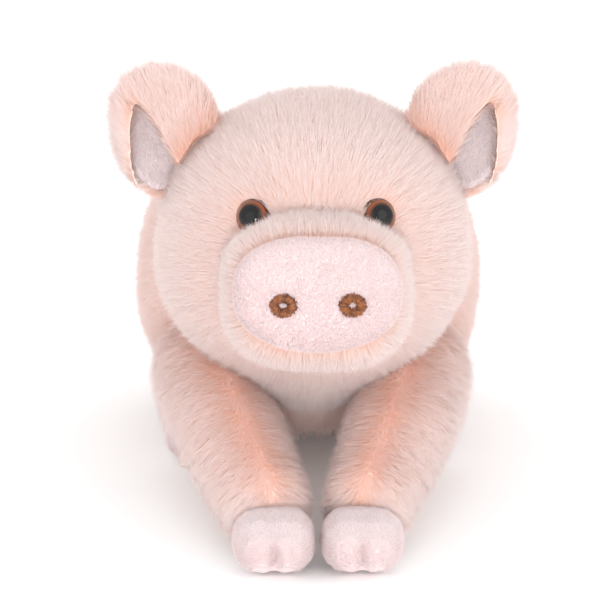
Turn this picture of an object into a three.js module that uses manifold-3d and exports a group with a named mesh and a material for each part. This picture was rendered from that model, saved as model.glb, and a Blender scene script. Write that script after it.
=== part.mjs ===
// A long-pile plush pig that lies on its belly with all four legs stretched forward.
// Millimetres, +Z up. The pig faces -Y, so its own left side is +X. The origin is the middle of the
// flat that its belly rests on. Covers are the pile's dense surface: loose tips stand out past it.
import * as THREE from "three";
import { mergeVertices } from "three/addons/utils/BufferGeometryUtils.js";
import Module from "manifold-3d";

const wasm = await Module();
wasm.setup();

// Fits
const SEAM_GAP = 0.3; // between two pieces that are sewn or pressed together
const TURN_GAP = 0.9; // between two pieces that rub when a joint moves
const REST_FLAT = 0.5; // depth of the flats that the pig rests on
const FUR_WALL = 5; // knit backing with its pile
const VELOUR_WALL = 2.4; // knit backing with short pile

// Torso
const TORSO_WIDTH = 151;
const TORSO_LENGTH = 184;
const TORSO_HEIGHT = 134;
const TORSO_WIDEST = 70; // height of the widest section above the floor
const TORSO_ROUNDNESS = { up: 2.5, down: 2.15 };

// Head
const HEAD_WIDTH = 127;
const HEAD_FRONT = 61;
const HEAD_BACK = 58;
const HEAD_UP = 65;
const HEAD_DOWN = 66;
const HEAD_ROUNDNESS = { up: 2.15, down: 1.65 };
const HEAD_FORWARD = 100; // from the middle of the belly to the head's axis
const HEAD_LEVEL = 104; // height of the head's widest section
const HEAD_TURN = 8; // degrees each way
const NECK_BORE = 50; // the torso cover's opening at the neck seam

// Snout
const MUZZLE_WIDTH = 73;
const MUZZLE_HEIGHT = 60;
const MUZZLE_DEPTH = 31; // half of the roll's depth
const MUZZLE_FORWARD = 54; // from the head's axis to the roll's widest section
const MUZZLE_RISE = -1.5; // of the roll's middle above the head's widest section
const MUZZLE_ROUNDNESS = 3;
const DISC_WIDTH = 64;
const DISC_UP = 22; // from the disc's widest line to its flatter top
const DISC_DOWN = 23;
const DISC_RISE = 2; // of its widest line above the head's widest section
const DISC_DOME = 8;
const DISC_PROUD = 1; // of the roll's front
const DISC_ROUNDNESS = { up: 2.7, down: 2.1 };
const NOSTRIL_SPACING = 26;
const NOSTRIL_WIDTH = 9.6;
const NOSTRIL_HEIGHT = 7.8;
const NOSTRIL_DROP = 2.6; // below the disc's widest line
const NOSTRIL_STITCH = 1.6; // radius of the satin roll

// Eyes
const EYE_DIAMETER = 14;
const EYE_DOME = 5.2;
const EYE_RIM = 1.2;
const EYE_SUNK = 2.6; // the rim's face lies this deep in the pile
const EYE_ROUND = 25.5; // degrees outwards on the head
const EYE_RAISE = 23.5; // degrees upwards on the head
const EYE_LOOK_OUT = 18;
const EYE_LOOK_UP = 16;
const EYE_FACES = 14; // around an eye and the holes for it
const WASHER_FACES = 12;
const SHANK_DIAMETER = 4.4;
const SHANK_LENGTH = 11;
const SHANK_RIDGES = 3;
const SHANK_ROOT = 0.84; // a groove's radius over a ridge's
const WASHER_DIAMETER = 12;
const WASHER_THICKNESS = 1.2;
const WASHER_HUB = 7;

// Ears
const EAR_WIDTH = 45;
const EAR_HEIGHT = 54;
const EAR_THICKNESS = 21;
const EAR_OUT = 59; // from the head's middle plane to the ear's middle
const EAR_RISE = 48.5; // above the head's widest section
const EAR_FORWARD = 3;
const EAR_TILT = 15; // degrees outwards
const EAR_ROUNDNESS = { up: 2.1, down: 2.1 };
const EAR_WALL = 4.5;
const EAR_LINING = 1.8;
const EAR_MOUTH_TIP = { out: 8, up: 17 }; // of the opening, from the ear's middle
const EAR_FLAP_EDGE = -1.5; // where the folded edge meets the head, out from the ear's middle
const EAR_RIM = 3; // width of the outer rim beside the opening
const EAR_SEAM = { top: { out: 35, up: 58 }, bottom: { out: 61, up: 22 } }; // on the head, from its middle
const EAR_FLOP = { forward: 20, back: 8 }; // degrees

// Legs: the radius of each leg falls from its root to its hoof
const ROOT_ROUNDING = 0.22; // share of a leg's length over which its root rounds off
const END_ROUNDING = 0.1;
const FORELEG_ROOT_RADIUS = 28.5;
const FORELEG_END_RADIUS = 16.3;
const FORELEG_SPLAY = 22;
const SHOULDER = { out: 43, back: 38, height: 52 }; // from the head's axis and the floor
const ELBOW = { out: 36.5, forward: 18, height: 40 };
const SHOULDER_HINGE = { out: 66, back: 48 };
const FORE_HOOF_OUT = 16.9;
const FORE_HOOF_FORWARD = 89; // from the head's axis
const HIND_LEG_ROOT_RADIUS = 26;
const HIND_LEG_END_RADIUS = 14.5;
const HIND_LEG_SPLAY = 20;
const HIP = { out: 43, back: 52 };
const KNEE_OUT = 50;
const HIP_HINGE = { out: 58, back: 62 };
const HIND_HOOF_OUT = 50;
const HIND_HOOF_FORWARD = TORSO_LENGTH * 0.3; // from the middle of the belly

// Hooves
const FORE_HOOF = { width: 32.5, length: 32, height: 24 };
const HIND_HOOF = { width: 28, length: 28, height: 22 };
const HOOF_ROUNDNESS = { up: 2.2, down: 2.6 };
const TOE_SHARE = 0.7; // a toe's width over the hoof's
const HEEL_INSET = 1; // of the heel's side from the toe's
const ANKLE_BACK = 0.3; // the leg ends this share of the hoof's length behind its middle

// Tail
const TAIL_LEVEL = 84;
const TAIL_RADIUS = 5;
const TAIL_TIP_RADIUS = 3;
const TAIL_CURL = 9; // radius of the curl's middle line
const TAIL_TURNS = 1.15;
const TAIL_REACH = 22; // of the curl, backwards
const TAIL_WAG = 15;

// Label
const LABEL_WIDTH = 8.5;
const LABEL_HEIGHT = 8;
const LABEL_THICKNESS = 0.8;

const rad = THREE.MathUtils.degToRad;
const point = (x, y, z) => new THREE.Vector3(x, y, z);
const HEAD_CENTRE = point(0, -HEAD_FORWARD, HEAD_LEVEL);
const MUZZLE_CENTRE = HEAD_CENTRE.clone().add(point(0, -MUZZLE_FORWARD, MUZZLE_RISE));
const UP = point(0, 0, 1);
const SIDES = [
  [1, "left"],
  [-1, "right"],
];

const furCloth = cloth(0xf0cfc6, 0.95);
const velour = cloth(0xf3e2e2, 0.9);
const filling = cloth(0xf4f3f0, 1);
const thread = cloth(0x96562a, 0.7);
const labelCloth = cloth(0xe1d4c6, 0.9);
const eyePlastic = new THREE.MeshStandardMaterial({ color: 0x4b2d1c, roughness: 0.12, metalness: 0 });
const washerPlastic = new THREE.MeshStandardMaterial({ color: 0xe8e6e0, roughness: 0.5, metalness: 0 });

function cloth(color, roughness) {
  return new THREE.MeshStandardMaterial({ color, roughness, metalness: 0 });
}

// Solids and meshes

// A closed geometry as a solid that can be joined and cut.
function solidOf(geometry) {
  const bare = geometry.clone();
  bare.deleteAttribute("normal");
  bare.deleteAttribute("uv");
  const merged = mergeVertices(bare, 1e-4);
  return new wasm.Manifold(
    new wasm.Mesh({
      numProp: 3,
      vertProperties: merged.attributes.position.array,
      triVerts: new Uint32Array(merged.index.array),
    }),
  );
}

function meshOf(name, solid, material) {
  const { vertProperties, triVerts } = solid.getMesh();
  const geometry = new THREE.BufferGeometry();
  geometry.setAttribute("position", new THREE.BufferAttribute(vertProperties, 3));
  geometry.setIndex(new THREE.BufferAttribute(triVerts, 1));
  geometry.computeVertexNormals();
  const mesh = new THREE.Mesh(geometry, material);
  mesh.name = name;
  return mesh;
}

// The solid turned by each of the angles about an axis through a pivot, joined into one.
function swept(solid, pivot, axis, degrees) {
  return degrees
    .map((angle) => {
      const move = new THREE.Matrix4()
        .makeTranslation(pivot)
        .multiply(new THREE.Matrix4().makeRotationAxis(axis, rad(angle)))
        .multiply(new THREE.Matrix4().makeTranslation(pivot.clone().negate()));
      return solid.transform(move.elements);
    })
    .reduce((all, one) => all.add(one));
}

// Forms

// A stuffed form: a sphere pushed out to a superellipsoid with its own half size to each side.
// Its exponent runs from roundness.down at the bottom to roundness.up at the top.
function plump({ centre, half, roundness, segments, grow = 0, tilt = 0 }) {
  const [around, rings] = segments;
  const geometry = new THREE.SphereGeometry(1, around, rings);
  const place = geometry.attributes.position;
  for (let i = 0; i < place.count; i++) {
    const d = plumpPoint(point(place.getX(i), place.getY(i), place.getZ(i)), half, roundness, grow);
    place.setXYZ(i, d.x, d.y, d.z);
  }
  return solidOf(geometry.rotateY(rad(tilt)).translate(centre.x, centre.y, centre.z));
}

function plumpPoint(direction, half, roundness, grow) {
  const p = THREE.MathUtils.lerp(roundness.down, roundness.up, (direction.z + 1) / 2);
  const [ax, ay, az] = direction.toArray().map((c) => Math.abs(c) ** p);
  const reach = (ax + ay + az) ** (-1 / p);
  return point(
    direction.x * reach * (half.side + grow),
    direction.y * reach * ((direction.y < 0 ? half.front : half.back) + grow),
    direction.z * reach * ((direction.z < 0 ? half.down : half.up) + grow),
  );
}

// A closed loft along a curve, round in section, with radiusAt(t) for t from 0 to 1.
function limb(curve, radiusAt, steps, around) {
  const positions = [];
  const index = [];
  const side = point(0, 0, 0);
  const over = point(0, 0, 0);
  for (let i = 0; i <= steps; i++) {
    const t = (1 - Math.cos((Math.PI * i) / steps)) / 2;
    const middle = curve.getPoint(t);
    const along = curve.getTangent(t);
    side.crossVectors(UP, along).normalize();
    over.crossVectors(along, side);
    const radius = i % steps ? radiusAt(t) : 0;
    for (let j = 0; j < (radius ? around : 1); j++) {
      const turn = (2 * Math.PI * j) / around;
      const at = middle.clone();
      at.addScaledVector(side, radius * Math.cos(turn)).addScaledVector(over, radius * Math.sin(turn));
      positions.push(...at.toArray());
    }
  }
  const ring = (i, j) => 1 + (i - 1) * around + (j % around);
  const last = positions.length / 3 - 1;
  for (let j = 0; j < around; j++) {
    index.push(0, ring(1, j + 1), ring(1, j), last, ring(steps - 1, j), ring(steps - 1, j + 1));
    for (let i = 1; i < steps - 1; i++) {
      index.push(ring(i, j), ring(i, j + 1), ring(i + 1, j + 1));
      index.push(ring(i, j), ring(i + 1, j + 1), ring(i + 1, j));
    }
  }
  const geometry = new THREE.BufferGeometry();
  geometry.setAttribute("position", new THREE.Float32BufferAttribute(positions, 3));
  geometry.setIndex(index);
  return solidOf(geometry);
}

// A rod between two points.
function rod(from, to, radius, sides) {
  const length = from.distanceTo(to);
  const turn = new THREE.Quaternion().setFromUnitVectors(point(0, 1, 0), to.clone().sub(from).normalize());
  const middle = from.clone().lerp(to, 0.5);
  const geometry = new THREE.CylinderGeometry(radius, radius, length, sides).applyQuaternion(turn);
  return solidOf(geometry.translate(middle.x, middle.y, middle.z));
}

// A shape drawn in X and Z and extruded along Y from y0 to y1.
function slab(shape, y0, y1, curveSegments) {
  const geometry = new THREE.ExtrudeGeometry(shape, { depth: y1 - y0, bevelEnabled: false, curveSegments });
  return solidOf(geometry.rotateX(Math.PI / 2).translate(0, y1, 0));
}

// All the space below a height.
const BEYOND = 600; // wider than the pig on every side
const spaceBelow = (height) => {
  const block = new THREE.BoxGeometry(BEYOND, BEYOND, BEYOND);
  return solidOf(block.translate(0, 0, height - BEYOND / 2));
};
const belowFloor = spaceBelow(0);

// Envelopes of the large forms, which the covers, the fillings and their neighbours all read

const FINE = [24, 16]; // faces around and along a form
const COARSE = [14, 8];

const torsoForm = (grow, segments = FINE) =>
  plump({
    centre: point(0, 0, TORSO_WIDEST - REST_FLAT),
    half: {
      side: TORSO_WIDTH / 2,
      front: TORSO_LENGTH / 2,
      back: TORSO_LENGTH / 2,
      up: TORSO_HEIGHT - TORSO_WIDEST,
      down: TORSO_WIDEST,
    },
    roundness: TORSO_ROUNDNESS,
    segments,
    grow,
  });

const headHalf = { side: HEAD_WIDTH / 2, front: HEAD_FRONT, back: HEAD_BACK, up: HEAD_UP, down: HEAD_DOWN };
const headForm = (grow, segments = FINE) =>
  plump({ centre: HEAD_CENTRE, half: headHalf, roundness: HEAD_ROUNDNESS, segments, grow });

const muzzleHalf = {
  side: MUZZLE_WIDTH / 2,
  front: MUZZLE_DEPTH,
  back: MUZZLE_DEPTH,
  up: MUZZLE_HEIGHT / 2,
  down: MUZZLE_HEIGHT / 2,
};
const muzzleRoundness = { up: MUZZLE_ROUNDNESS, down: MUZZLE_ROUNDNESS };
const muzzleForm = (grow, segments = [20, 10]) =>
  plump({ centre: MUZZLE_CENTRE, half: muzzleHalf, roundness: muzzleRoundness, segments, grow });

// Joints' axes and the angles that a neighbour is cut at
const headTurns = [-HEAD_TURN, 0, HEAD_TURN];
const neckLine = {
  from: HEAD_CENTRE.clone().lerp(point(0, 0, TORSO_WIDEST), 0.1),
  to: HEAD_CENTRE.clone().lerp(point(0, 0, TORSO_WIDEST), 0.8),
};
const neckBore = (grow) => rod(neckLine.from, neckLine.to, NECK_BORE / 2 + grow, 20);

// What the head must stay clear of as it turns: the torso, seen from the turning head.
const torsoPastHead = swept(torsoForm(TURN_GAP), HEAD_CENTRE, UP, headTurns);

// Torso

function torso() {
  const outer = torsoForm(0);
  const inner = torsoForm(-FUR_WALL, COARSE);
  const cover = outer.subtract(inner).subtract(neckBore(0)).subtract(belowFloor);
  const plug = neckBore(-SEAM_GAP).intersect(outer);
  const stuffing = torsoForm(-FUR_WALL - SEAM_GAP, COARSE).add(plug);
  return [meshOf("torso_cover", cover, furCloth), meshOf("torso_stuffing", stuffing, filling)];
}

// Head with its snout and eyes

// Where each eye sits: on the head's surface, let into the pile.
function eyeSeat(sign) {
  const round = rad(EYE_ROUND);
  const raise = rad(EYE_RAISE);
  const direction = point(
    sign * Math.sin(round) * Math.cos(raise),
    -Math.cos(round) * Math.cos(raise),
    Math.sin(raise),
  );
  const on = plumpPoint(direction, headHalf, HEAD_ROUNDNESS, 0).add(HEAD_CENTRE);
  const out = rad(EYE_LOOK_OUT);
  const up = rad(EYE_LOOK_UP);
  const look = point(sign * Math.sin(out) * Math.cos(up), -Math.cos(out) * Math.cos(up), Math.sin(up));
  return { base: on.addScaledVector(look, -EYE_SUNK), look };
}

// A lathe profile turned to look along the eye's axis.
function eyeLathe({ base, look }, profile, sides) {
  const turn = new THREE.Quaternion().setFromUnitVectors(point(0, 1, 0), look);
  const geometry = new THREE.LatheGeometry(profile, sides).applyQuaternion(turn);
  return solidOf(geometry.translate(base.x, base.y, base.z));
}

// A safety eye: dome, rim, and a shank whose ridges hold the washer.
function eyeSolid(seat) {
  const profile = [new THREE.Vector2(0, -SHANK_LENGTH)];
  const shank = SHANK_DIAMETER / 2;
  const pitch = (SHANK_LENGTH - EYE_RIM) / (2 * SHANK_RIDGES);
  for (let i = 0; i < SHANK_RIDGES; i++) {
    const y = -SHANK_LENGTH + 2 * i * pitch;
    profile.push(new THREE.Vector2(shank * SHANK_ROOT, y), new THREE.Vector2(shank, y + pitch));
  }
  const radius = EYE_DIAMETER / 2;
  profile.push(new THREE.Vector2(shank * SHANK_ROOT, -EYE_RIM), new THREE.Vector2(radius, -EYE_RIM));
  const steps = 4;
  for (let i = 0; i <= steps; i++) {
    const turn = (Math.PI / 2) * (i / steps);
    profile.push(new THREE.Vector2(i < steps ? radius * Math.cos(turn) : 0, EYE_DOME * Math.sin(turn)));
  }
  return eyeLathe(seat, profile, EYE_FACES);
}

// The hole that a round feature needs on an eye's axis, from depth y0 to y1.
function eyeBore({ base, look }, radius, y0, y1) {
  return rod(base.clone().addScaledVector(look, y0), base.clone().addScaledVector(look, y1), radius, EYE_FACES);
}

// The washer lies against the cover's inner face, pushed on the shank.
const WASHER_AT = EYE_SUNK - FUR_WALL - SEAM_GAP - WASHER_THICKNESS;

function washerSolid(seat) {
  const bore = SHANK_DIAMETER / 2 + SEAM_GAP;
  const profile = [
    new THREE.Vector2(bore, WASHER_AT + WASHER_THICKNESS),
    new THREE.Vector2(bore, WASHER_AT - WASHER_THICKNESS),
    new THREE.Vector2(WASHER_HUB / 2, WASHER_AT - WASHER_THICKNESS),
    new THREE.Vector2(WASHER_HUB / 2, WASHER_AT),
    new THREE.Vector2(WASHER_DIAMETER / 2, WASHER_AT),
    new THREE.Vector2(WASHER_DIAMETER / 2, WASHER_AT + WASHER_THICKNESS),
    new THREE.Vector2(bore, WASHER_AT + WASHER_THICKNESS),
  ];
  return eyeLathe(seat, profile, WASHER_FACES);
}

// The snout disc: a pillow with a flatter top, let into the roll's front.
const discCentre = point(
  0,
  MUZZLE_CENTRE.y - MUZZLE_DEPTH - DISC_PROUD + DISC_DOME,
  HEAD_CENTRE.z + DISC_RISE,
);
const discHalf = {
  side: DISC_WIDTH / 2,
  front: DISC_DOME,
  back: VELOUR_WALL,
  up: DISC_UP,
  down: DISC_DOWN,
};
const discForm = (grow) =>
  plump({ centre: discCentre, half: discHalf, roundness: DISC_ROUNDNESS, segments: [22, 8], grow });

// A satin-stitched ring, half sunk in the disc's face.
function nostrilSolid(sign, grow = 0) {
  const x = (sign * NOSTRIL_SPACING) / 2;
  const { side, down, front } = discHalf;
  const p = DISC_ROUNDNESS.down;
  const y = front * (1 - (Math.abs(x) / side) ** p - (NOSTRIL_DROP / down) ** p) ** (1 / p);
  const ring = NOSTRIL_WIDTH / 2 - NOSTRIL_STITCH;
  const geometry = new THREE.TorusGeometry(ring, NOSTRIL_STITCH + grow, 6, 12);
  geometry.rotateX(Math.PI / 2).scale(1, 1, NOSTRIL_HEIGHT / NOSTRIL_WIDTH);
  return solidOf(geometry.translate(x, discCentre.y - y, discCentre.z - NOSTRIL_DROP));
}

function snout() {
  const behindHead = headForm(SEAM_GAP);
  const disc = discForm(0);
  const discRoom = discForm(SEAM_GAP);
  const rings = SIDES.map(([sign]) => nostrilSolid(sign));
  const grooves = SIDES.map(([sign]) => nostrilSolid(sign, SEAM_GAP));
  return {
    gusset: muzzleForm(0).subtract(muzzleForm(-FUR_WALL, COARSE)).subtract(discRoom).subtract(behindHead),
    disc: disc.subtract(grooves[0]).subtract(grooves[1]),
    fill: muzzleForm(-FUR_WALL - SEAM_GAP, COARSE).subtract(discRoom).subtract(behindHead),
    rings,
  };
}

function head() {
  const { gusset, disc, fill, rings } = snout();
  let roll = gusset;
  let cover = headForm(0)
    .subtract(headForm(-FUR_WALL, COARSE))
    .subtract(torsoPastHead)
    .subtract(muzzleForm(-2 * FUR_WALL, COARSE));
  let stuffing = headForm(-FUR_WALL - SEAM_GAP, COARSE)
    .add(muzzleForm(-2 * FUR_WALL - SEAM_GAP, COARSE))
    .add(fill)
    .subtract(torsoPastHead);
  const pieces = [];
  for (const [sign, side] of SIDES) {
    const seat = eyeSeat(sign);
    const room = eyeBore(seat, EYE_DIAMETER / 2 + SEAM_GAP, -EYE_RIM - SEAM_GAP, 3 * EYE_DOME);
    const shankRoom = eyeBore(seat, SHANK_DIAMETER / 2 + SEAM_GAP, -SHANK_LENGTH - SEAM_GAP, 0);
    const washerRoom = eyeBore(
      seat,
      WASHER_DIAMETER / 2 + SEAM_GAP,
      WASHER_AT - WASHER_THICKNESS - SEAM_GAP,
      WASHER_AT + WASHER_THICKNESS + SEAM_GAP,
    );
    cover = cover.subtract(room).subtract(shankRoom).subtract(washerRoom);
    stuffing = stuffing.subtract(room).subtract(shankRoom).subtract(washerRoom);
    roll = roll.subtract(room);
    pieces.push(meshOf(`eye_${side}`, eyeSolid(seat), eyePlastic));
    pieces.push(meshOf(`eye_washer_${side}`, washerSolid(seat), washerPlastic));
    pieces.push(meshOf(`nostril_stitching_${side}`, rings[sign > 0 ? 0 : 1], thread));
  }
  pieces.push(meshOf("head_cover", cover, furCloth));
  pieces.push(meshOf("head_stuffing", stuffing, filling));
  pieces.push(meshOf("muzzle_gusset", roll, furCloth));
  pieces.push(meshOf("snout_disc", disc, velour));
  return pieces;
}

// Ears

const earTilt = rad(EAR_TILT);

// The line that an ear hinges about, along the seam that sews it to the head.
function earHinge(sign) {
  const top = point(sign * EAR_SEAM.top.out, 0, EAR_SEAM.top.up);
  const bottom = point(sign * EAR_SEAM.bottom.out, 0, EAR_SEAM.bottom.up);
  const axis = bottom.clone().sub(top).multiplyScalar(sign).normalize();
  const pivot = top.lerp(bottom, 0.5).add(HEAD_CENTRE).add(point(0, -EAR_FORWARD, 0));
  return { axis, pivot };
}

// The opening between the folded edge and the outer rim, a leaf seen from the front.
function earMouth(sign, centre) {
  const { out, up } = EAR_MOUTH_TIP;
  const low = -EAR_HEIGHT / 2 - EAR_WALL;
  const rim = EAR_WIDTH / 2 - EAR_RIM;
  const shape = new THREE.Shape();
  shape.moveTo(sign * out, up);
  shape.quadraticCurveTo(sign * EAR_FLAP_EDGE, up * 0.4, sign * EAR_FLAP_EDGE, low);
  shape.lineTo(sign * rim * 0.7, low);
  shape.quadraticCurveTo(sign * (rim + 2), -up * 0.6, sign * out, up);
  const turned = new THREE.Shape(
    shape.getPoints(5).map((p) => {
      const x = p.x * Math.cos(earTilt) + sign * p.y * Math.sin(earTilt);
      const z = p.y * Math.cos(earTilt) - sign * p.x * Math.sin(earTilt);
      return new THREE.Vector2(centre.x + x, centre.z + z);
    }),
  );
  return slab(turned, centre.y - EAR_THICKNESS, centre.y - SEAM_GAP, 1);
}

function ear(sign, side) {
  const centre = HEAD_CENTRE.clone().add(point(sign * EAR_OUT, -EAR_FORWARD, EAR_RISE));
  const depth = EAR_THICKNESS / 2;
  const half = { side: EAR_WIDTH / 2, front: depth, back: depth, up: EAR_HEIGHT / 2, down: EAR_HEIGHT / 2 };
  const form = (grow, segments) =>
    plump({ centre, half, roundness: EAR_ROUNDNESS, segments, grow, tilt: sign * EAR_TILT });
  const { axis, pivot } = earHinge(sign);
  const flops = [-EAR_FLOP.forward, -EAR_FLOP.forward / 2, 0, EAR_FLOP.back];
  const headPastEar = swept(headForm(TURN_GAP), pivot, axis, flops);
  const mouth = earMouth(sign, centre);
  const shell = form(0, [18, 10])
    .subtract(form(-EAR_WALL, [14, 8]))
    .subtract(mouth)
    .subtract(headPastEar);
  const frontHalf = new THREE.BoxGeometry(2 * EAR_WIDTH, 2 * depth, 2 * EAR_HEIGHT);
  const front = solidOf(frontHalf.translate(centre.x, centre.y - depth, centre.z));
  const lining = form(-EAR_WALL - SEAM_GAP, [14, 8])
    .subtract(form(-EAR_WALL - SEAM_GAP - EAR_LINING, [12, 6]))
    .subtract(front)
    .subtract(headPastEar);
  return [meshOf(`ear_shell_${side}`, shell, furCloth), meshOf(`ear_lining_${side}`, lining, velour)];
}

// Legs

// A leg's curve from its root inside the body to its ankle, and its radius along it.
function legForm({ root, bend, ankle, rootRadius, endRadius }, grow, [steps, around]) {
  const curve = new THREE.CatmullRomCurve3([root, bend, ankle]);
  const radiusAt = (t) => {
    const full = THREE.MathUtils.lerp(rootRadius, endRadius, t) + grow;
    const fromRoot = Math.min(t / ROOT_ROUNDING, 1);
    const fromEnd = Math.min((1 - t) / END_ROUNDING, 1);
    return full * Math.sqrt((1 - (1 - fromRoot) ** 2) * (1 - (1 - fromEnd) ** 2));
  };
  return limb(curve, radiusAt, steps, around);
}

// A cloven hoof: two toes side by side and the heel behind them.
function hoofForm(centre, { width, length, height }, grow = 0) {
  const toe = {
    side: (width * TOE_SHARE) / 2,
    front: length / 2,
    back: length / 2,
    up: height / 2,
    down: height / 2,
  };
  const heel = { ...toe, side: width / 2 - HEEL_INSET, front: length / 4 };
  const roundness = HOOF_ROUNDNESS;
  const toeOut = (width / 2) * (1 - TOE_SHARE);
  const parts = [-toeOut, toeOut].map((out) =>
    plump({ centre: centre.clone().add(point(out, 0, 0)), half: toe, roundness, segments: [12, 6], grow }),
  );
  parts.push(plump({ centre, half: heel, roundness, segments: [12, 6], grow }));
  return parts.reduce((all, one) => all.add(one));
}

const LEG_FINE = [10, 14]; // faces along and around a leg
const LEG_COARSE = [8, 8];

function leg(name, side, { hoofName, line, hoof, hoofCentre, hinge, neighbours, wallAgainst }) {
  const past = (solid) => swept(solid, hinge.pivot, UP, hinge.degrees);
  const room = neighbours.map(past);
  const clear = (solid) => room.reduce((all, one) => all.subtract(one), solid);
  const walls = wallAgainst.map(past);
  const hollow = (grow) =>
    walls.reduce((all, one) => all.subtract(one), legForm(line, grow, LEG_COARSE)).subtract(floorWall);
  const cover = clear(legForm(line, 0, LEG_FINE)).subtract(belowFloor).subtract(hollow(-FUR_WALL));
  const stuffing = clear(hollow(-FUR_WALL - SEAM_GAP));
  const foot = clear(hoofForm(hoofCentre, hoof))
    .subtract(legForm(line, SEAM_GAP, LEG_FINE))
    .subtract(belowFloor);
  return [
    meshOf(`${name}_cover_${side}`, cover, furCloth),
    meshOf(`${name}_stuffing_${side}`, stuffing, filling),
    meshOf(`${hoofName}_${side}`, foot, velour),
  ];
}

// The cover keeps its wall under the filling where the flat is cut.
const floorWall = spaceBelow(FUR_WALL);

function ankleOf(centre, { length }, radius) {
  return point(centre.x, centre.y + ANKLE_BACK * length, radius - REST_FLAT);
}

function foreleg(sign, side) {
  const hoofCentre = point(
    sign * FORE_HOOF_OUT,
    -HEAD_FORWARD - FORE_HOOF_FORWARD,
    FORE_HOOF.height / 2 - REST_FLAT,
  );
  const line = {
    root: point(sign * SHOULDER.out, -HEAD_FORWARD + SHOULDER.back, SHOULDER.height),
    bend: point(sign * ELBOW.out, -HEAD_FORWARD - ELBOW.forward, ELBOW.height),
    ankle: ankleOf(hoofCentre, FORE_HOOF, FORELEG_END_RADIUS),
    rootRadius: FORELEG_ROOT_RADIUS,
    endRadius: FORELEG_END_RADIUS,
  };
  const pivot = point(sign * SHOULDER_HINGE.out, -HEAD_FORWARD + SHOULDER_HINGE.back, SHOULDER.height);
  const degrees = [0, -0.5 * sign * FORELEG_SPLAY, -sign * FORELEG_SPLAY];
  return leg("foreleg", side, {
    hoofName: "fore_hoof",
    line,
    hoof: FORE_HOOF,
    hoofCentre,
    hinge: { pivot, degrees },
    neighbours: [torsoForm(TURN_GAP), headForm(2 * TURN_GAP)],
    wallAgainst: [headForm(2 * TURN_GAP + FUR_WALL)],
  });
}

function hindLeg(sign, side) {
  const hoofCentre = point(sign * HIND_HOOF_OUT, -HIND_HOOF_FORWARD, HIND_HOOF.height / 2 - REST_FLAT);
  const ankle = ankleOf(hoofCentre, HIND_HOOF, HIND_LEG_END_RADIUS);
  const rootHeight = HIND_LEG_ROOT_RADIUS - REST_FLAT;
  const line = {
    root: point(sign * HIP.out, HIP.back, rootHeight),
    bend: point(sign * KNEE_OUT, (HIP.back + ankle.y) / 2, (rootHeight + ankle.z) / 2),
    ankle,
    rootRadius: HIND_LEG_ROOT_RADIUS,
    endRadius: HIND_LEG_END_RADIUS,
  };
  const pivot = point(sign * HIP_HINGE.out, HIP_HINGE.back, rootHeight);
  const degrees = [0, -0.5 * sign * HIND_LEG_SPLAY, -sign * HIND_LEG_SPLAY];
  return leg("hind_leg", side, {
    hoofName: "hind_hoof",
    line,
    hoof: HIND_HOOF,
    hoofCentre,
    hinge: { pivot, degrees },
    neighbours: [torsoForm(TURN_GAP)],
    wallAgainst: [],
  });
}

// Tail: a narrow tube of fur, curled one turn and a bit.
function tail() {
  const root = torsoRearAt(TAIL_LEVEL);
  const points = [root.clone().add(point(0, -TAIL_CURL, 0))];
  const steps = 12;
  for (let i = 0; i <= steps; i++) {
    const angle = (2 * Math.PI * TAIL_TURNS * i) / steps;
    const back = TAIL_RADIUS + (TAIL_REACH * i) / steps;
    const out = TAIL_CURL * Math.sin(angle);
    points.push(root.clone().add(point(out, back, TAIL_CURL * (1 - Math.cos(angle)))));
  }
  const radiusAt = (t) =>
    THREE.MathUtils.lerp(TAIL_RADIUS, TAIL_TIP_RADIUS, t) * Math.sqrt(1 - Math.abs(2 * t - 1) ** 16);
  const tube = limb(new THREE.CatmullRomCurve3(points), radiusAt, 24, 8);
  const room = swept(torsoForm(SEAM_GAP), root, UP, [-TAIL_WAG, 0, TAIL_WAG]);
  return [meshOf("tail", tube.subtract(room), furCloth)];
}

function torsoRearAt(height) {
  const p = TORSO_ROUNDNESS.up;
  const rise = (height - TORSO_WIDEST + REST_FLAT) / (TORSO_HEIGHT - TORSO_WIDEST);
  return point(0, (TORSO_LENGTH / 2) * (1 - rise ** p) ** (1 / p), height);
}

// Label: a small bare tab sewn in at the right hind hoof, standing against its toe.
function label() {
  const y = -HIND_HOOF_FORWARD - HIND_HOOF.length / 2 - SEAM_GAP - LABEL_THICKNESS / 2;
  const geometry = new THREE.BoxGeometry(LABEL_WIDTH, LABEL_THICKNESS, LABEL_HEIGHT);
  geometry.translate(-HIND_HOOF_OUT - LABEL_WIDTH / 3, y, SEAM_GAP + LABEL_HEIGHT / 2);
  return [meshOf("sewn_label", solidOf(geometry), labelCloth)];
}

const pig = new THREE.Group();
pig.add(...torso(), ...head(), ...tail(), ...label());
for (const [sign, side] of SIDES) {
  pig.add(...ear(sign, side), ...foreleg(sign, side), ...hindLeg(sign, side));
}
export default pig;
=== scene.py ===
import logging
import math
from dataclasses import dataclass
from enum import Enum

import bmesh
import bpy
import numpy as np
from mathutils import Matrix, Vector, noise


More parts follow.
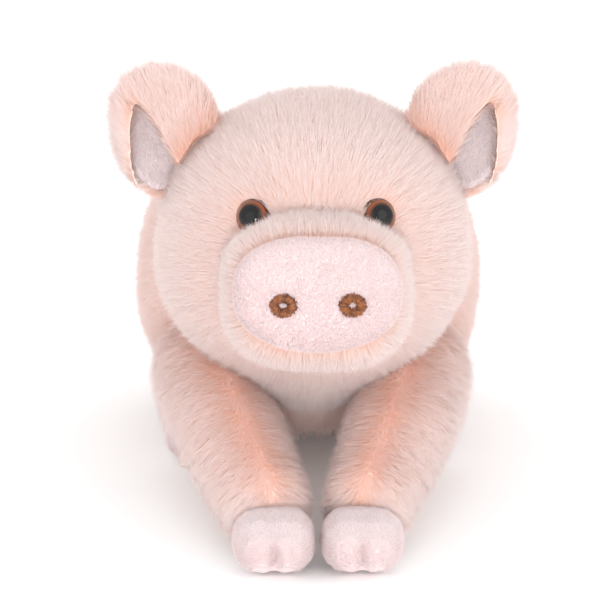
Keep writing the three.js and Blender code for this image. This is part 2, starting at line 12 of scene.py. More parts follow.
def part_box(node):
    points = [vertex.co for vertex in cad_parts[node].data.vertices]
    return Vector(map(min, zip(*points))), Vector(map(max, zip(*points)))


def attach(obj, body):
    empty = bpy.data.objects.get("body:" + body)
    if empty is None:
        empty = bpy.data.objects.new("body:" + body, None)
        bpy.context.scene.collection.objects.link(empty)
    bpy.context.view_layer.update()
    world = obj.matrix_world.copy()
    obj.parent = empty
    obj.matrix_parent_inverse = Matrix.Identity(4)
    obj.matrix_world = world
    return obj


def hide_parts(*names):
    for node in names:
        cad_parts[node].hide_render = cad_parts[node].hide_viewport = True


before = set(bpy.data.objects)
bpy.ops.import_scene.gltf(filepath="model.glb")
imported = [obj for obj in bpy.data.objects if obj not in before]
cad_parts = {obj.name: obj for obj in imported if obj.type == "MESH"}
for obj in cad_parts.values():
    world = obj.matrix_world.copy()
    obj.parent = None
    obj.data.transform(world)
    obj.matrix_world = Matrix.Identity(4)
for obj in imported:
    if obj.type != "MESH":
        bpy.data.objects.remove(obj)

LOG = logging.getLogger("plush_pig")
MM = 0.001
UV = "OFBake"  # the map that the finishes read
FLOOR_CLEARANCE = 0.3  # mm that the lowest fibres keep above the floor
COVER_FADE = 3.0  # mm over which a coat thins out inside another form
WELD = 1e-6  # m within which a frame node's loose corners are one
BACKWARDS = np.array([0.0, 1.0, 0.0])
DOWNWARDS = np.array([0.0, 0.0, -1.0])


class Side(Enum):
    """The pig's own sides, with the sign of X on each."""

    LEFT = 1
    RIGHT = -1

    @property
    def word(self) -> str:
        """The side's name as the nodes have it."""
        return self.name.lower()


# Arrays of points and directions


def unit(vectors: np.ndarray) -> np.ndarray:
    """The vectors at length one."""
    return vectors / np.maximum(np.linalg.norm(vectors, axis=-1, keepdims=True), 1e-9)


def along_surface(direction: np.ndarray, normals: np.ndarray) -> np.ndarray:
    """Lays directions into the surface.

    Args:
        direction: one direction, or one for each normal.
        normals: unit normals of the surface.

    Returns:
        Unit vectors in the surface.
    """
    spread = np.broadcast_to(direction, normals.shape)
    return unit(spread - normals * (spread * normals).sum(-1, keepdims=True))


def smoothstep(low: float, high: float, value: np.ndarray) -> np.ndarray:
    """Zero below low, one above high, and smooth between them."""
    t = np.clip((value - low) / (high - low), 0.0, 1.0)
    return t * t * (3.0 - 2.0 * t)


def lumps(points: np.ndarray, size: float, seed: float) -> np.ndarray:
    """Smooth noise between -1 and 1 for the uneven filling.

    Args:
        points: places in millimetres.
        size: distance between lumps in millimetres.
        seed: moves the pattern.

    Returns:
        One value for each point.
    """
    shift = Vector((seed, 2.3 * seed, 4.1 * seed))
    return np.array([noise.noise(Vector(p) / size + shift) for p in points])


# Forms, in millimetres, with the sizes of the frame


@dataclass(frozen=True)
class PlumpForm:
    """A stuffed form: a sphere pushed out to a superellipsoid with its own half size to each side."""

    centre: tuple[float, float, float]
    side: float
    front: float
    back: float
    up: float
    down: float
    round_up: float
    round_down: float
    tilt: float = 0.0

    def _turn(self, points: np.ndarray, sign: int) -> np.ndarray:
        """Turns points about Y.

        Args:
            points: places round the form's centre.
            sign: 1 for the form's tilt, -1 for back again.

        Returns:
            The turned points.
        """
        angle = math.radians(self.tilt) * sign
        x = points[:, 0] * math.cos(angle) + points[:, 2] * math.sin(angle)
        z = points[:, 2] * math.cos(angle) - points[:, 0] * math.sin(angle)
        return np.stack([x, points[:, 1], z], axis=1)

    def _halves(self, directions: np.ndarray, grow: float) -> np.ndarray:
        """The half sizes that apply to each direction.

        Args:
            directions: directions from the centre.
            grow: millimetres added to every half size.

        Returns:
            Three half sizes for each direction.
        """
        x = np.full(len(directions), self.side)
        y = np.where(directions[:, 1] < 0, self.front, self.back)
        z = np.where(directions[:, 2] < 0, self.down, self.up)
        return np.stack([x, y, z], axis=1) + grow

    def _power(self, directions: np.ndarray) -> np.ndarray:
        """The exponent at each direction."""
        return self.round_down + (self.round_up - self.round_down) * (directions[:, 2] + 1) / 2

    def surface(self, directions: np.ndarray, grow: float = 0.0) -> np.ndarray:
        """Places on the form's surface.

        Args:
            directions: unit directions from the centre.
            grow: millimetres outside the form, negative for inside.

        Returns:
            One point for each direction.
        """
        power = self._power(directions)
        reach = (np.abs(directions) ** power[:, None]).sum(1) ** (-1 / power)
        local = directions * reach[:, None] * self._halves(directions, grow)
        return self._turn(local, 1) + np.array(self.centre)

    def fullness(self, points: np.ndarray, grow: float = 0.0) -> np.ndarray:
        """How far each point lies from the centre, as a share of the form's reach there.

        Args:
            points: places in millimetres.
            grow: millimetres added to every half size.

        Returns:
            Under one inside the form, one on it, and over one outside.
        """
        local = self._turn(points - np.array(self.centre), -1)
        scaled = local / self._halves(local, grow)
        length = np.linalg.norm(scaled, axis=1)
        directions = scaled / np.maximum(length, 1e-9)[:, None]
        power = self._power(directions)
        return length * (np.abs(directions) ** power[:, None]).sum(1) ** (1 / power)

    def gap(self, points: np.ndarray) -> np.ndarray:
        """About how many millimetres each point lies outside the form."""
        mean = (self.side + self.front + self.up) / 3
        return (self.fullness(points) - 1) * mean

    def skin(self, name: str, grow: float, level: int = 5) -> bpy.types.Object:
        """The form as a smooth closed mesh.

        Args:
            name: the piece's name.
            grow: millimetres outside the form.
            level: subdivisions of the icosphere that it starts from.

        Returns:
            The new object.
        """
        ball = bmesh.new()
        bmesh.ops.create_icosphere(ball, subdivisions=level, radius=1.0)
        directions = unit(np.array([v.co for v in ball.verts]))
        faces = [[v.index for v in f.verts] for f in ball.faces]
        ball.free()
        return mesh_object(name, self.surface(directions, grow), faces)


@dataclass(frozen=True)
class LimbForm:
    """A tube along a curve through three or more points, whose radius falls from root to end."""

    points: tuple[tuple[float, float, float], ...]
    root_radius: float
    end_radius: float
    root_rounding: float = 0.22
    end_rounding: float = 0.1

    def middle(self, t: float) -> np.ndarray:
        """A point on the tube's middle line, a centripetal Catmull-Rom curve.

        Args:
            t: the share of the way along, from 0 to 1.

        Returns:
            The point in millimetres.
        """
        knots = [np.array(p) for p in self.points]
        at = t * (len(knots) - 1)
        i = min(int(at), len(knots) - 2)
        weight = at - i
        before = knots[i - 1] if i else 2 * knots[0] - knots[1]
        after = knots[i + 2] if i + 2 < len(knots) else 2 * knots[-1] - knots[-2]
        p = [before, knots[i], knots[i + 1], after]
        d = [max(float(((p[k + 1] - p[k]) ** 2).sum()) ** 0.25, 1e-4) for k in range(3)]
        start = ((p[1] - p[0]) / d[0] - (p[2] - p[0]) / (d[0] + d[1]) + (p[2] - p[1]) / d[1]) * d[1]
        end = ((p[2] - p[1]) / d[1] - (p[3] - p[1]) / (d[1] + d[2]) + (p[3] - p[2]) / d[2]) * d[1]
        w2, w3 = weight**2, weight**3
        return (
            p[1] * (2 * w3 - 3 * w2 + 1)
            + start * (w3 - 2 * w2 + weight)
            + p[2] * (3 * w2 - 2 * w3)
            + end * (w3 - w2)
        )

    def radius(self, t: float) -> float:
        """The tube's radius, rounded off to nothing at both ends.

        Args:
            t: the share of the way along, from 0 to 1.

        Returns:
            The radius in millimetres.
        """
        full = self.root_radius + (self.end_radius - self.root_radius) * t
        root = min(t / self.root_rounding, 1.0)
        end = min((1 - t) / self.end_rounding, 1.0)
        return full * math.sqrt((1 - (1 - root) ** 2) * (1 - (1 - end) ** 2))

    def heading(self, t: float) -> np.ndarray:
        """The curve's direction at t."""
        low, high = max(t - 0.01, 0.0), min(t + 0.01, 1.0)
        return unit(self.middle(high) - self.middle(low))

    def gap(self, points: np.ndarray) -> np.ndarray:
        """About how many millimetres each point lies outside the tube.

        Args:
            points: places in millimetres.

        Returns:
            One distance for each point, negative inside the tube.
        """
        stations = 25
        nearest = np.full(len(points), np.inf)
        for t in np.linspace(0, 1, stations):
            away = np.linalg.norm(points - self.middle(t), axis=1) - self.radius(t)
            nearest = np.minimum(nearest, away)
        return nearest

    def skin(self, name: str, grow: float, steps: int = 60, around: int = 48) -> bpy.types.Object:
        """The tube as a smooth closed mesh, with its place along and around kept as attributes.

        Args:
            name: the piece's name.
            grow: millimetres outside the tube.
            steps: rings along it.
            around: points round each ring.

        Returns:
            The new object.
        """
        places, lengthwise, across = [], [], []
        for i in range(steps + 1):
            t = (1 - math.cos(math.pi * i / steps)) / 2
            ahead = self.heading(t)
            side = unit(np.cross([0, 0, 1], ahead))
            over = np.cross(ahead, side)
            radius = max(self.radius(t) + grow, 0.0) if 0 < i < steps else 0.0
            middle = self.middle(t) + ahead * (-grow if i == 0 else grow if i == steps else 0.0)
            for j in range(around if 0 < i < steps else 1):
                turn = 2 * math.pi * j / around
                places.append(middle + radius * (side * math.cos(turn) + over * math.sin(turn)))
                lengthwise.append(t)
                across.append(math.cos(turn))

        def ring(i: int, j: int) -> int:
            """The number of a point on ring i."""
            return 1 + (i - 1) * around + j % around

        last = len(places) - 1
        faces = [[0, ring(1, j + 1), ring(1, j)] for j in range(around)]
        faces += [[last, ring(steps - 1, j), ring(steps - 1, j + 1)] for j in range(around)]
        faces += [
            [ring(i, j), ring(i, j + 1), ring(i + 1, j + 1), ring(i + 1, j)]
            for i in range(1, steps - 1)
            for j in range(around)
        ]
        skin = mesh_object(name, np.array(places), faces)
        write_attribute(skin.data, "lengthwise", "FLOAT", np.array(lengthwise))
        write_attribute(skin.data, "across", "FLOAT", np.array(across))
        return skin


TORSO = PlumpForm(
    centre=(0, 0, 69.5), side=75.5, front=92, back=92, up=64, down=70, round_up=2.5, round_down=2.15
)
HEAD = PlumpForm(
    centre=(0, -100, 104), side=63.5, front=61, back=58, up=65, down=66, round_up=2.15, round_down=1.65
)
MUZZLE = PlumpForm(
    centre=(0, -154, 102.5), side=36.5, front=31, back=31, up=30, down=30, round_up=3, round_down=3
)
DISC = PlumpForm(
    centre=(0, -178, 106), side=32, front=8, back=2.4, up=22, down=23, round_up=2.7, round_down=2.1
)


def ear_form(side: Side) -> PlumpForm:
    """The ear's envelope, leaning outwards."""
    centre, lean = (59 * side.value, -103, 152.5), 15 * side.value
    return PlumpForm(centre, 22.5, 10.5, 10.5, 27, 27, 2.1, 2.1, lean)


def foreleg_form(side: Side) -> LimbForm:
    """The foreleg's tube."""
    s = side.value
    return LimbForm(((43 * s, -62, 52), (36.5 * s, -118, 40), (16.9 * s, -179.4, 15)), 28.5, 16.3)


def hind_leg_form(side: Side) -> LimbForm:
    """The hind leg's tube."""
    s = side.value
    return LimbForm(((43 * s, 52, 25.5), (50 * s, 2.7, 19.75), (50 * s, -46.8, 14)), 26, 14.5)


# Meshes


def mesh_object(name: str, places: np.ndarray, faces: list[list[int]]) -> bpy.types.Object:
    """Makes an object whose mesh holds the places.

    Args:
        name: name of the object and its mesh.
        places: vertices in millimetres.
        faces: vertex numbers of each face.

    Returns:
        The new object, smooth shaded, at the origin.
    """
    mesh = bpy.data.meshes.new(name)
    mesh.from_pydata((np.asarray(places, float) * MM).tolist(), [], faces)
    mesh.shade_smooth()
    mesh.update()
    return put(name, mesh)


def put(name: str, mesh: bpy.types.Mesh) -> bpy.types.Object:
    """Links a mesh into the scene as an object of that name.

    Args:
        name: the object's name.
        mesh: its mesh.

    Returns:
        The object.
    """
    made = bpy.data.objects.new(name, mesh)
    bpy.context.scene.collection.objects.link(made)
    return made


def places_of(mesh: bpy.types.Mesh) -> np.ndarray:
    """The mesh's vertices in millimetres.

    Args:
        mesh: the mesh.

    Returns:
        One row for each vertex.
    """
    flat = np.empty(3 * len(mesh.vertices))
    mesh.vertices.foreach_get("co", flat)
    return flat.reshape(-1, 3) / MM


def move_to(mesh: bpy.types.Mesh, places: np.ndarray) -> None:
    """Sets the mesh's vertices, given in millimetres."""
    mesh.vertices.foreach_set("co", (places * MM).ravel())
    mesh.update()


def normals_of(mesh: bpy.types.Mesh) -> np.ndarray:
    """The mesh's vertex normals.

    Args:
        mesh: the mesh.

    Returns:
        One row for each vertex.
    """
    flat = np.empty(3 * len(mesh.vertices))
    mesh.vertex_normals.foreach_get("vector", flat)
    return flat.reshape(-1, 3)


def write_attribute(
    mesh: bpy.types.Mesh, name: str, kind: str, values: np.ndarray, on: str = "POINT"
) -> None:
    """Stores values under a name.

    Args:
        mesh: the mesh that takes them.
        name: the attribute's name.
        kind: the attribute's type, such as FLOAT.
        values: one value for each vertex or face.
        on: POINT for vertices, FACE for faces.
    """
    layer = mesh.attributes.new(name, kind, on)
    key = "vector" if kind == "FLOAT_VECTOR" else "value"
    layer.data.foreach_set(key, np.ascontiguousarray(values).ravel())


def read_attribute(mesh: bpy.types.Mesh, name: str) -> np.ndarray:
    """One number for each vertex, stored before under that name.

    Args:
        mesh: the mesh.
        name: the attribute's name.

    Returns:
        One number for each vertex.
    """
    values = np.empty(len(mesh.vertices), np.float32)
    mesh.attributes[name].data.foreach_get("value", values)
    return values


def evaluated(made: bpy.types.Object) -> bpy.types.Mesh:
    """The object's mesh with its modifiers applied, as a new mesh.

    Args:
        made: the object.

    Returns:
        A mesh of its own.
    """
    bpy.context.view_layer.update()
    result = made.evaluated_get(bpy.context.evaluated_depsgraph_get())
    return bpy.data.meshes.new_from_object(result)


def cast_of(node: str, name: str, voxel: float, smooth: int) -> bpy.types.Object:
    """A frame node's form as an even mesh with softened edges.

    Args:
        node: the frame node.
        name: the piece's name.
        voxel: size of the faces in millimetres.
        smooth: rounds of smoothing.

    Returns:
        The new object.
    """
    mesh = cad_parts[node].data.copy()
    welded = bmesh.new()
    welded.from_mesh(mesh)
    bmesh.ops.remove_doubles(welded, verts=welded.verts, dist=WELD)
    welded.to_mesh(mesh)
    welded.free()
    mesh.materials.clear()
    made = put(name, mesh)
    grid = made.modifiers.new("even", "REMESH")
    grid.mode = "VOXEL"
    grid.voxel_size = voxel * MM
    soften = made.modifiers.new("soften", "SMOOTH")
    soften.factor = 0.5
    soften.iterations = smooth
    made.data = evaluated(made)
    made.modifiers.clear()
    made.data.name = name
    made.data.shade_smooth()
    return made


# Node trees


class TreeWriter:
    """Adds nodes to a tree and links them."""

    def __init__(self, tree: bpy.types.NodeTree) -> None:
        """Writes into the tree."""
        self.tree = tree

    def node(self, kind: str, inputs: dict | None = None, **settings: object) -> bpy.types.Node:
        """Adds a node.

        Args:
            kind: the node's type.
            inputs: socket name or number to a value, or to the socket that feeds it.
            settings: the node's own properties.

        Returns:
            The new node.
        """
        made = self.tree.nodes.new(kind)
        for key, value in settings.items():
            setattr(made, key, value)
        for key, value in (inputs or {}).items():
            self.give(made, key, value)
        return made

    def give(self, node: bpy.types.Node, key: str | int, value: object) -> None:
        """Sets a node's input to a value, or links the socket that feeds it.

        Args:
            node: the node.
            key: the input's name or number.
            value: a plain value or another node's socket.
        """
        if isinstance(value, bpy.types.NodeSocket):
            self.tree.links.new(value, node.inputs[key])
        else:
            node.inputs[key].default_value = value

    def sum(self, operation: str, *values: object) -> bpy.types.NodeSocket:
        """A Math node's result."""
        return self.node("ShaderNodeMath", dict(enumerate(values)), operation=operation).outputs[0]

    def vector(self, operation: str, *values: object) -> bpy.types.NodeSocket:
        """A Vector Math node's vector.

        Args:
            operation: the node's operation.
            values: its inputs in order, where the second of SCALE is the number to scale by.

        Returns:
            The socket that holds the vector.
        """
        made = self.node("ShaderNodeVectorMath", operation=operation)
        for i, value in enumerate(values):
            self.give(made, "Scale" if operation == "SCALE" and i == 1 else i, value)
        return made.outputs[0]


class GeometryTree(TreeWriter):
    """A Geometry Nodes tree with named inputs."""

    def __init__(self, name: str, inputs: dict[str, str]) -> None:
        """Starts a tree with one geometry out.

        Args:
            name: the tree's name.
            inputs: name to socket kind of each input, the geometry first.
        """
        super().__init__(bpy.data.node_groups.new(name, "GeometryNodeTree"))
        for label, kind in inputs.items():
            self.tree.interface.new_socket(label, in_out="INPUT", socket_type=f"NodeSocket{kind}")
        self.tree.interface.new_socket("Geometry", in_out="OUTPUT", socket_type="NodeSocketGeometry")
        self.given = self.node("NodeGroupInput").outputs

    def realized(self, geometry: bpy.types.NodeSocket) -> bpy.types.NodeSocket:
        """The geometry with its instances made real."""
        return self.node("GeometryNodeRealizeInstances", {"Geometry": geometry}).outputs[0]

    def end(self, geometry: bpy.types.NodeSocket, material: bpy.types.NodeSocket) -> None:
        """Sets smooth shading and the material and ends the tree.

        Args:
            geometry: the last geometry.
            material: the socket that holds the material.
        """
        smooth = self.node("GeometryNodeSetShadeSmooth", {"Geometry": geometry}).outputs[0]
        dressed = self.node("GeometryNodeSetMaterial", {"Geometry": smooth, "Material": material})
        self.node("NodeGroupOutput", {"Geometry": dressed.outputs[0]})

    def named(self, name: str, kind: str = "FLOAT") -> bpy.types.NodeSocket:
        """A stored attribute's value."""
        return self.node("GeometryNodeInputNamedAttribute", {"Name": name}, data_type=kind).outputs[0]

    def store(
        self,
        geometry: bpy.types.NodeSocket,
        name: str,
        value: bpy.types.NodeSocket,
        kind: str = "FLOAT",
        domain: str = "POINT",
    ) -> bpy.types.NodeSocket:
        """Stores a value on the geometry.

        Args:
            geometry: the geometry that takes it.
            name: the attribute's name.
            value: the socket that holds the value.
            kind: the attribute's type.
            domain: what holds one value each, such as POINT.

        Returns:
            The geometry with the attribute.
        """
        inputs = {"Geometry": geometry, "Name": name, "Value": value}
        made = self.node("GeometryNodeStoreNamedAttribute", inputs, data_type=kind, domain=domain)
        return made.outputs[0]

    def apply(self, name: str, start: bpy.types.Mesh, values: dict[str, object]) -> bpy.types.Mesh:
        """Runs the tree on a mesh.

        Args:
            name: the result's name.
            start: the mesh that goes in first.
            values: the other inputs by name.

        Returns:
            The realized mesh.
        """
        holder = put(name + "_holder", start)
        modifier = holder.modifiers.new("tree", "NODES")
        modifier.node_group = self.tree
        for item in self.tree.interface.items_tree:
            if item.item_type == "SOCKET" and item.in_out == "INPUT" and item.name in values:
                modifier[item.identifier] = values[item.name]
        result = evaluated(holder)
        holder.modifiers.clear()
        bpy.data.objects.remove(holder)
        result.name = name
        return result


# Finishes


Shade = tuple[float, float, float]  # red, green and blue from 0 to 255, as displayed


def colour(shade: Shade) -> tuple[float, float, float, float]:
    """A shade as linear light, opaque.

    Args:
        shade: the colour.

    Returns:
        Its values for a node.
    """
    shares = [value / 255 for value in shade]
    linear = [c / 12.92 if c <= 0.04045 else ((c + 0.055) / 1.055) ** 2.4 for c in shares]
    return (*linear, 1.0)


class ShaderTree(TreeWriter):
    """A material's nodes round one Principled shader."""

    def __init__(self, name: str, **numbers: object) -> None:
        """Starts a material.

        Args:
            name: the material's name.
            numbers: the shader's own numbers, in lower case with _ for a space.
        """
        self.material = bpy.data.materials.new(name)
        self.material.use_nodes = True
        super().__init__(self.material.node_tree)
        self.shader = self.tree.nodes["Principled BSDF"]
        for key, value in numbers.items():
            self.shader.inputs[key.replace("_", " ").title().replace("Ior", "IOR")].default_value = value

    def feed(self, name: str, value: bpy.types.NodeSocket) -> None:
        """Links a value to the shader."""
        self.tree.links.new(value, self.shader.inputs[name])

    def let_light_through(self, shade: bpy.types.NodeSocket, share: float) -> None:
        """Mixes a translucent shader of the same colour into the Principled one.

        Args:
            shade: the colour.
            share: the share of the light that passes through.
        """
        behind = self.node("ShaderNodeBsdfTranslucent", {"Color": shade})
        both = self.node("ShaderNodeMixShader", {0: share, 1: self.shader.outputs[0], 2: behind.outputs[0]})
        self.tree.links.new(both.outputs[0], self.tree.nodes["Material Output"].inputs["Surface"])

    def mix(self, factor: object, first: object, second: object) -> bpy.types.NodeSocket:
        """A blend of two colours, all first at factor 0 and all second at 1."""
        return self.node("ShaderNodeMix", {0: factor, 6: first, 7: second}, data_type="RGBA").outputs[2]

    def map(
        self, value: bpy.types.NodeSocket, low: float, high: float, kind: str = "SMOOTHSTEP"
    ) -> bpy.types.NodeSocket:
        """Maps a value to 0 at low and 1 at high.

        Args:
            value: the socket that holds it.
            low: the value that becomes 0.
            high: the value that becomes 1.
            kind: how it goes between them.

        Returns:
            The socket that holds the result.
        """
        inputs = {"Value": value, "From Min": low, "From Max": high}
        return self.node("ShaderNodeMapRange", inputs, interpolation_type=kind).outputs[0]

    def blend(self, *pairs: tuple[bpy.types.NodeSocket, object]) -> bpy.types.NodeSocket:
        """The sum of two products, such as two values and their shares."""
        return self.sum("ADD", *(self.sum("MULTIPLY", *pair) for pair in pairs))

    def noise(self, size: float, detail: float = 2.0) -> bpy.types.NodeSocket:
        """Noise in the piece's own space.

        Args:
            size: the size of its lumps in millimetres.
            detail: how many finer layers it has.

        Returns:
            The socket that holds the noise.
        """
        place = self.node("ShaderNodeTexCoord").outputs["Object"]
        made = self.node("ShaderNodeTexNoise", {"Vector": place, "Scale": 1 / (size * MM), "Detail": detail})
        return made.outputs[0]

    def bump(self, height: bpy.types.NodeSocket, depth: float) -> None:
        """Raises the surface by a height from 0 to 1, over a depth in millimetres."""
        made = self.node("ShaderNodeBump", {"Height": height, "Distance": depth * MM, "Strength": 1.0})
        self.feed("Normal", made.outputs[0])

    def uv(self) -> tuple[bpy.types.NodeSocket, bpy.types.NodeSocket]:
        """The two numbers of the piece's own map, as sockets.

        Returns:
            The socket of u and that of v.
        """
        place = self.node("ShaderNodeUVMap", uv_map=UV).outputs[0]
        split = self.node("ShaderNodeSeparateXYZ", {0: place})
        return split.outputs[0], split.outputs[1]


@dataclass(frozen=True)
class PileFinish:
    """Fibres dyed deeper at the root, from a warm tone at map u 0 to a pale one at u 1."""

    name: str
    warm_root: Shade
    pale_root: Shade
    warm_tip: Shade
    pale_tip: Shade
    tip_from: float = 0.1
    tip_to: float = 0.75
    roughness: float = 0.75
    sheen: float = 0.25
    through: float = 0.4  # share of the light that passes through a fibre

    def material(self) -> bpy.types.Material:
        """Builds the fibre's material.

        Returns:
            The material.
        """
        tree = ShaderTree(
            self.name,
            roughness=self.roughness,
            specular_ior_level=0.25,
            sheen_weight=self.sheen,
            sheen_roughness=0.5,
        )
        tone, along = tree.uv()
        root = tree.mix(tone, colour(self.warm_root), colour(self.pale_root))
        tip = tree.mix(tone, colour(self.warm_tip), colour(self.pale_tip))
        shade = tree.mix(tree.map(along, self.tip_from, self.tip_to), root, tip)
        tree.feed("Base Color", shade)
        tree.let_light_through(shade, self.through)
        return tree.material


@dataclass(frozen=True)
class BackingFinish:
    """Knit backing under the pile: a dyed cloth with small loops, in millimetres."""

    name: str
    dark: Shade
    light: Shade
    loop: float = 0.9
    depth: float = 0.3
    patch: float = 14.0  # loops across one broad patch of colour

    def material(self) -> bpy.types.Material:
        """Builds the cloth's material.

        Returns:
            The material.
        """
        tree = ShaderTree(self.name, roughness=0.9, specular_ior_level=0.15, sheen_weight=0.2)
        loops = tree.noise(self.loop, 3.0)
        broad = tree.noise(self.loop * self.patch)
        shade = tree.blend((loops, 0.6), (broad, 0.4))
        tree.feed("Base Color", tree.mix(tree.map(shade, 0.35, 0.65), colour(self.dark), colour(self.light)))
        tree.bump(loops, self.depth)
        return tree.material


@dataclass(frozen=True)
class ThreadFinish:
    """Shiny embroidery thread with fine strands and broad changes of tone, in millimetres."""

    name: str
    dark: Shade
    light: Shade
    strand: float = 0.35
    patch: float = 2.2
    depth: float = 0.12

    def material(self) -> bpy.types.Material:
        """Builds the thread's material.

        Returns:
            The material.
        """
        tree = ShaderTree(self.name, roughness=0.42, specular_ior_level=0.45, sheen_weight=0.15)
        strands = tree.noise(self.strand)
        broad = tree.noise(self.patch, 1.0)
        shade = tree.blend((strands, 0.55), (broad, 0.45))
        tree.feed("Base Color", tree.mix(tree.map(shade, 0.38, 0.62), colour(self.dark), colour(self.light)))
        tree.bump(strands, self.depth)
        return tree.material


@dataclass(frozen=True)
class EyeFinish:
    """A moulded eye: a black pupil, a brown ring that deepens inwards, and a dark edge.

    Each band is a range of the distance from the eye's axis, as a share of its radius.
    """

    name: str
    pupil: Shade = (9, 7, 8)
    iris: Shade = (132, 70, 38)
    deep: Shade = (62, 32, 20)
    edge: Shade = (84, 44, 28)
    pupil_band: tuple[float, float] = (0.58, 0.61)
    ring_band: tuple[float, float] = (0.60, 0.80)
    edge_band: tuple[float, float] = (0.83, 0.87)

    def material(self) -> bpy.types.Material:
        """Builds the eye's material.

        Returns:
            The material.
        """
        tree = ShaderTree(
            self.name, roughness=0.07, specular_ior_level=0.4, coat_weight=0.1, coat_roughness=0.03
        )
        across, over = tree.uv()
        x = tree.sum("SUBTRACT", across, 0.5)
        y = tree.sum("SUBTRACT", over, 0.5)
        squares = tree.blend((x, x), (y, y))
        away = tree.sum("MULTIPLY", tree.sum("SQRT", squares), 2.0)
        ring = tree.mix(tree.map(away, *self.ring_band), colour(self.deep), colour(self.iris))
        inner = tree.mix(tree.map(away, *self.pupil_band), colour(self.pupil), ring)
        tree.feed("Base Color", tree.mix(tree.map(away, *self.edge_band), inner, colour(self.edge)))
        return tree.material


@dataclass(frozen=True)
class PlasticFinish:
    """Plain moulded plastic with a faint grain, in millimetres."""

    name: str
    shade: Shade
    roughness: float = 0.45
    grain: float = 0.8
    depth: float = 0.02

    def material(self) -> bpy.types.Material:
        """Builds the plastic's material.

        Returns:
            The material.
        """
        tree = ShaderTree(self.name, roughness=self.roughness)
        grain = tree.noise(self.grain)
        dull = tuple(0.93 * c for c in self.shade)
        tree.feed("Base Color", tree.mix(grain, colour(dull), colour(self.shade)))
        tree.bump(grain, self.depth)
        return tree.material


@dataclass(frozen=True)
class WovenFinish:
    """A plain woven ribbon, in millimetres."""

    name: str
    warp: Shade
    weft: Shade
    pitch: float = 0.5
    depth: float = 0.08

    def material(self) -> bpy.types.Material:
        """Builds the ribbon's material.

        Returns:
            The material.
        """
        tree = ShaderTree(self.name, roughness=0.8, specular_ior_level=0.2, sheen_weight=0.2)
        place = tree.node("ShaderNodeTexCoord").outputs["Object"]
        split = tree.node("ShaderNodeSeparateXYZ", {0: place})
        turns = 2 * math.pi / (self.pitch * MM)
        up = tree.sum("SINE", tree.sum("MULTIPLY", split.outputs[2], turns))
        over = tree.sum("SINE", tree.sum("MULTIPLY", split.outputs[0], turns))
        weave = tree.map(tree.sum("MULTIPLY", up, over), -1.0, 1.0, "LINEAR")
        tree.feed("Base Color", tree.mix(weave, colour(self.warp), colour(self.weft)))
        tree.bump(weave, self.depth)
        return tree.material


class Wardrobe:
    """Every finish on the pig, each built once."""

    def __init__(self) -> None:
        """Builds the materials."""
        self.fur = PileFinish(
            "fur_pile",
            warm_root=(246, 206, 184),
            pale_root=(249, 228, 220),
            warm_tip=(247, 222, 214),
            pale_tip=(248, 239, 238),
        ).material()
        self.fur_backing = BackingFinish("fur_backing", (245, 208, 196), (252, 224, 214)).material()
        self.velour = PileFinish(
            "velour_pile",
            warm_root=(213, 204, 205),
            pale_root=(218, 211, 212),
            warm_tip=(250, 231, 230),
            pale_tip=(254, 243, 243),
            tip_from=0.0,
            tip_to=0.6,
            roughness=0.8,
        ).material()
        self.velour_backing = BackingFinish(
            "velour_backing", (232, 208, 208), (240, 222, 222), loop=0.6, depth=0.2
        ).material()
        self.thread = ThreadFinish("satin_thread", (80, 38, 14), (158, 92, 44)).material()
        self.eye = EyeFinish("eye_plastic").material()
        self.washer = PlasticFinish("washer_plastic", (232, 230, 224)).material()
        self.label = WovenFinish("label_ribbon", (206, 184, 174), (236, 222, 214)).material()


# Pile


@dataclass(frozen=True)
class Pile:
    """How fibres stand on a backing, in millimetres."""

    density: float  # fibres for each square millimetre
    length: float
    width: float  # at the root
    lean: float  # 0 for upright, 1 for lying along the comb
    spread: float = 0.25  # share by which lengths differ
    tousle: float = 0.16  # how far single fibres stray
    tuft: float = 0.3  # how far fibres of one tuft stray together
    tuft_size: float = 5.0
    tone_spread: float = 0.22  # how far tones differ
    seed: int = 1


TORSO_FUR = Pile(
    density=3.9, length=10.0, width=0.32, lean=0.68, tousle=0.12, tuft=0.14, tone_spread=0.12, seed=11
)
HEAD_FUR = Pile(
    density=5.2,
    length=9.0,
    width=0.28,
    lean=0.66,
    tousle=0.14,
    tuft=0.13,
    tuft_size=4.0,
    tone_spread=0.1,
    seed=31,
)
MUZZLE_FUR = Pile(
    density=6.6, length=7.0, width=0.27, lean=0.5, tousle=0.12, tuft=0.14, tone_spread=0.12, seed=51
)
EAR_FUR = Pile(
    density=5.6, length=8.5, width=0.28, lean=0.68, tousle=0.1, tuft=0.12, tone_spread=0.14, seed=71
)
EAR_NAP = Pile(
    density=6.5, length=3.6, width=0.28, lean=0.6, tousle=0.4, tuft_size=4.0, tone_spread=0.1, seed=77
)
LEG_FUR = Pile(
    density=6.6,
    length=8.5,
    width=0.26,
    lean=0.68,
    spread=0.2,
    tousle=0.17,
    tuft=0.19,
    tuft_size=3.6,
    tone_spread=0.2,
)
TAIL_FUR = Pile(density=5.0, length=4.2, width=0.28, lean=0.7, tuft=0.14, tone_spread=0.12, seed=91)
VELOUR_NAP = Pile(
    density=9.0, length=1.4, width=0.3, lean=0.5, tousle=0.18, tuft=0.08, tuft_size=3.0, tone_spread=0.04
)


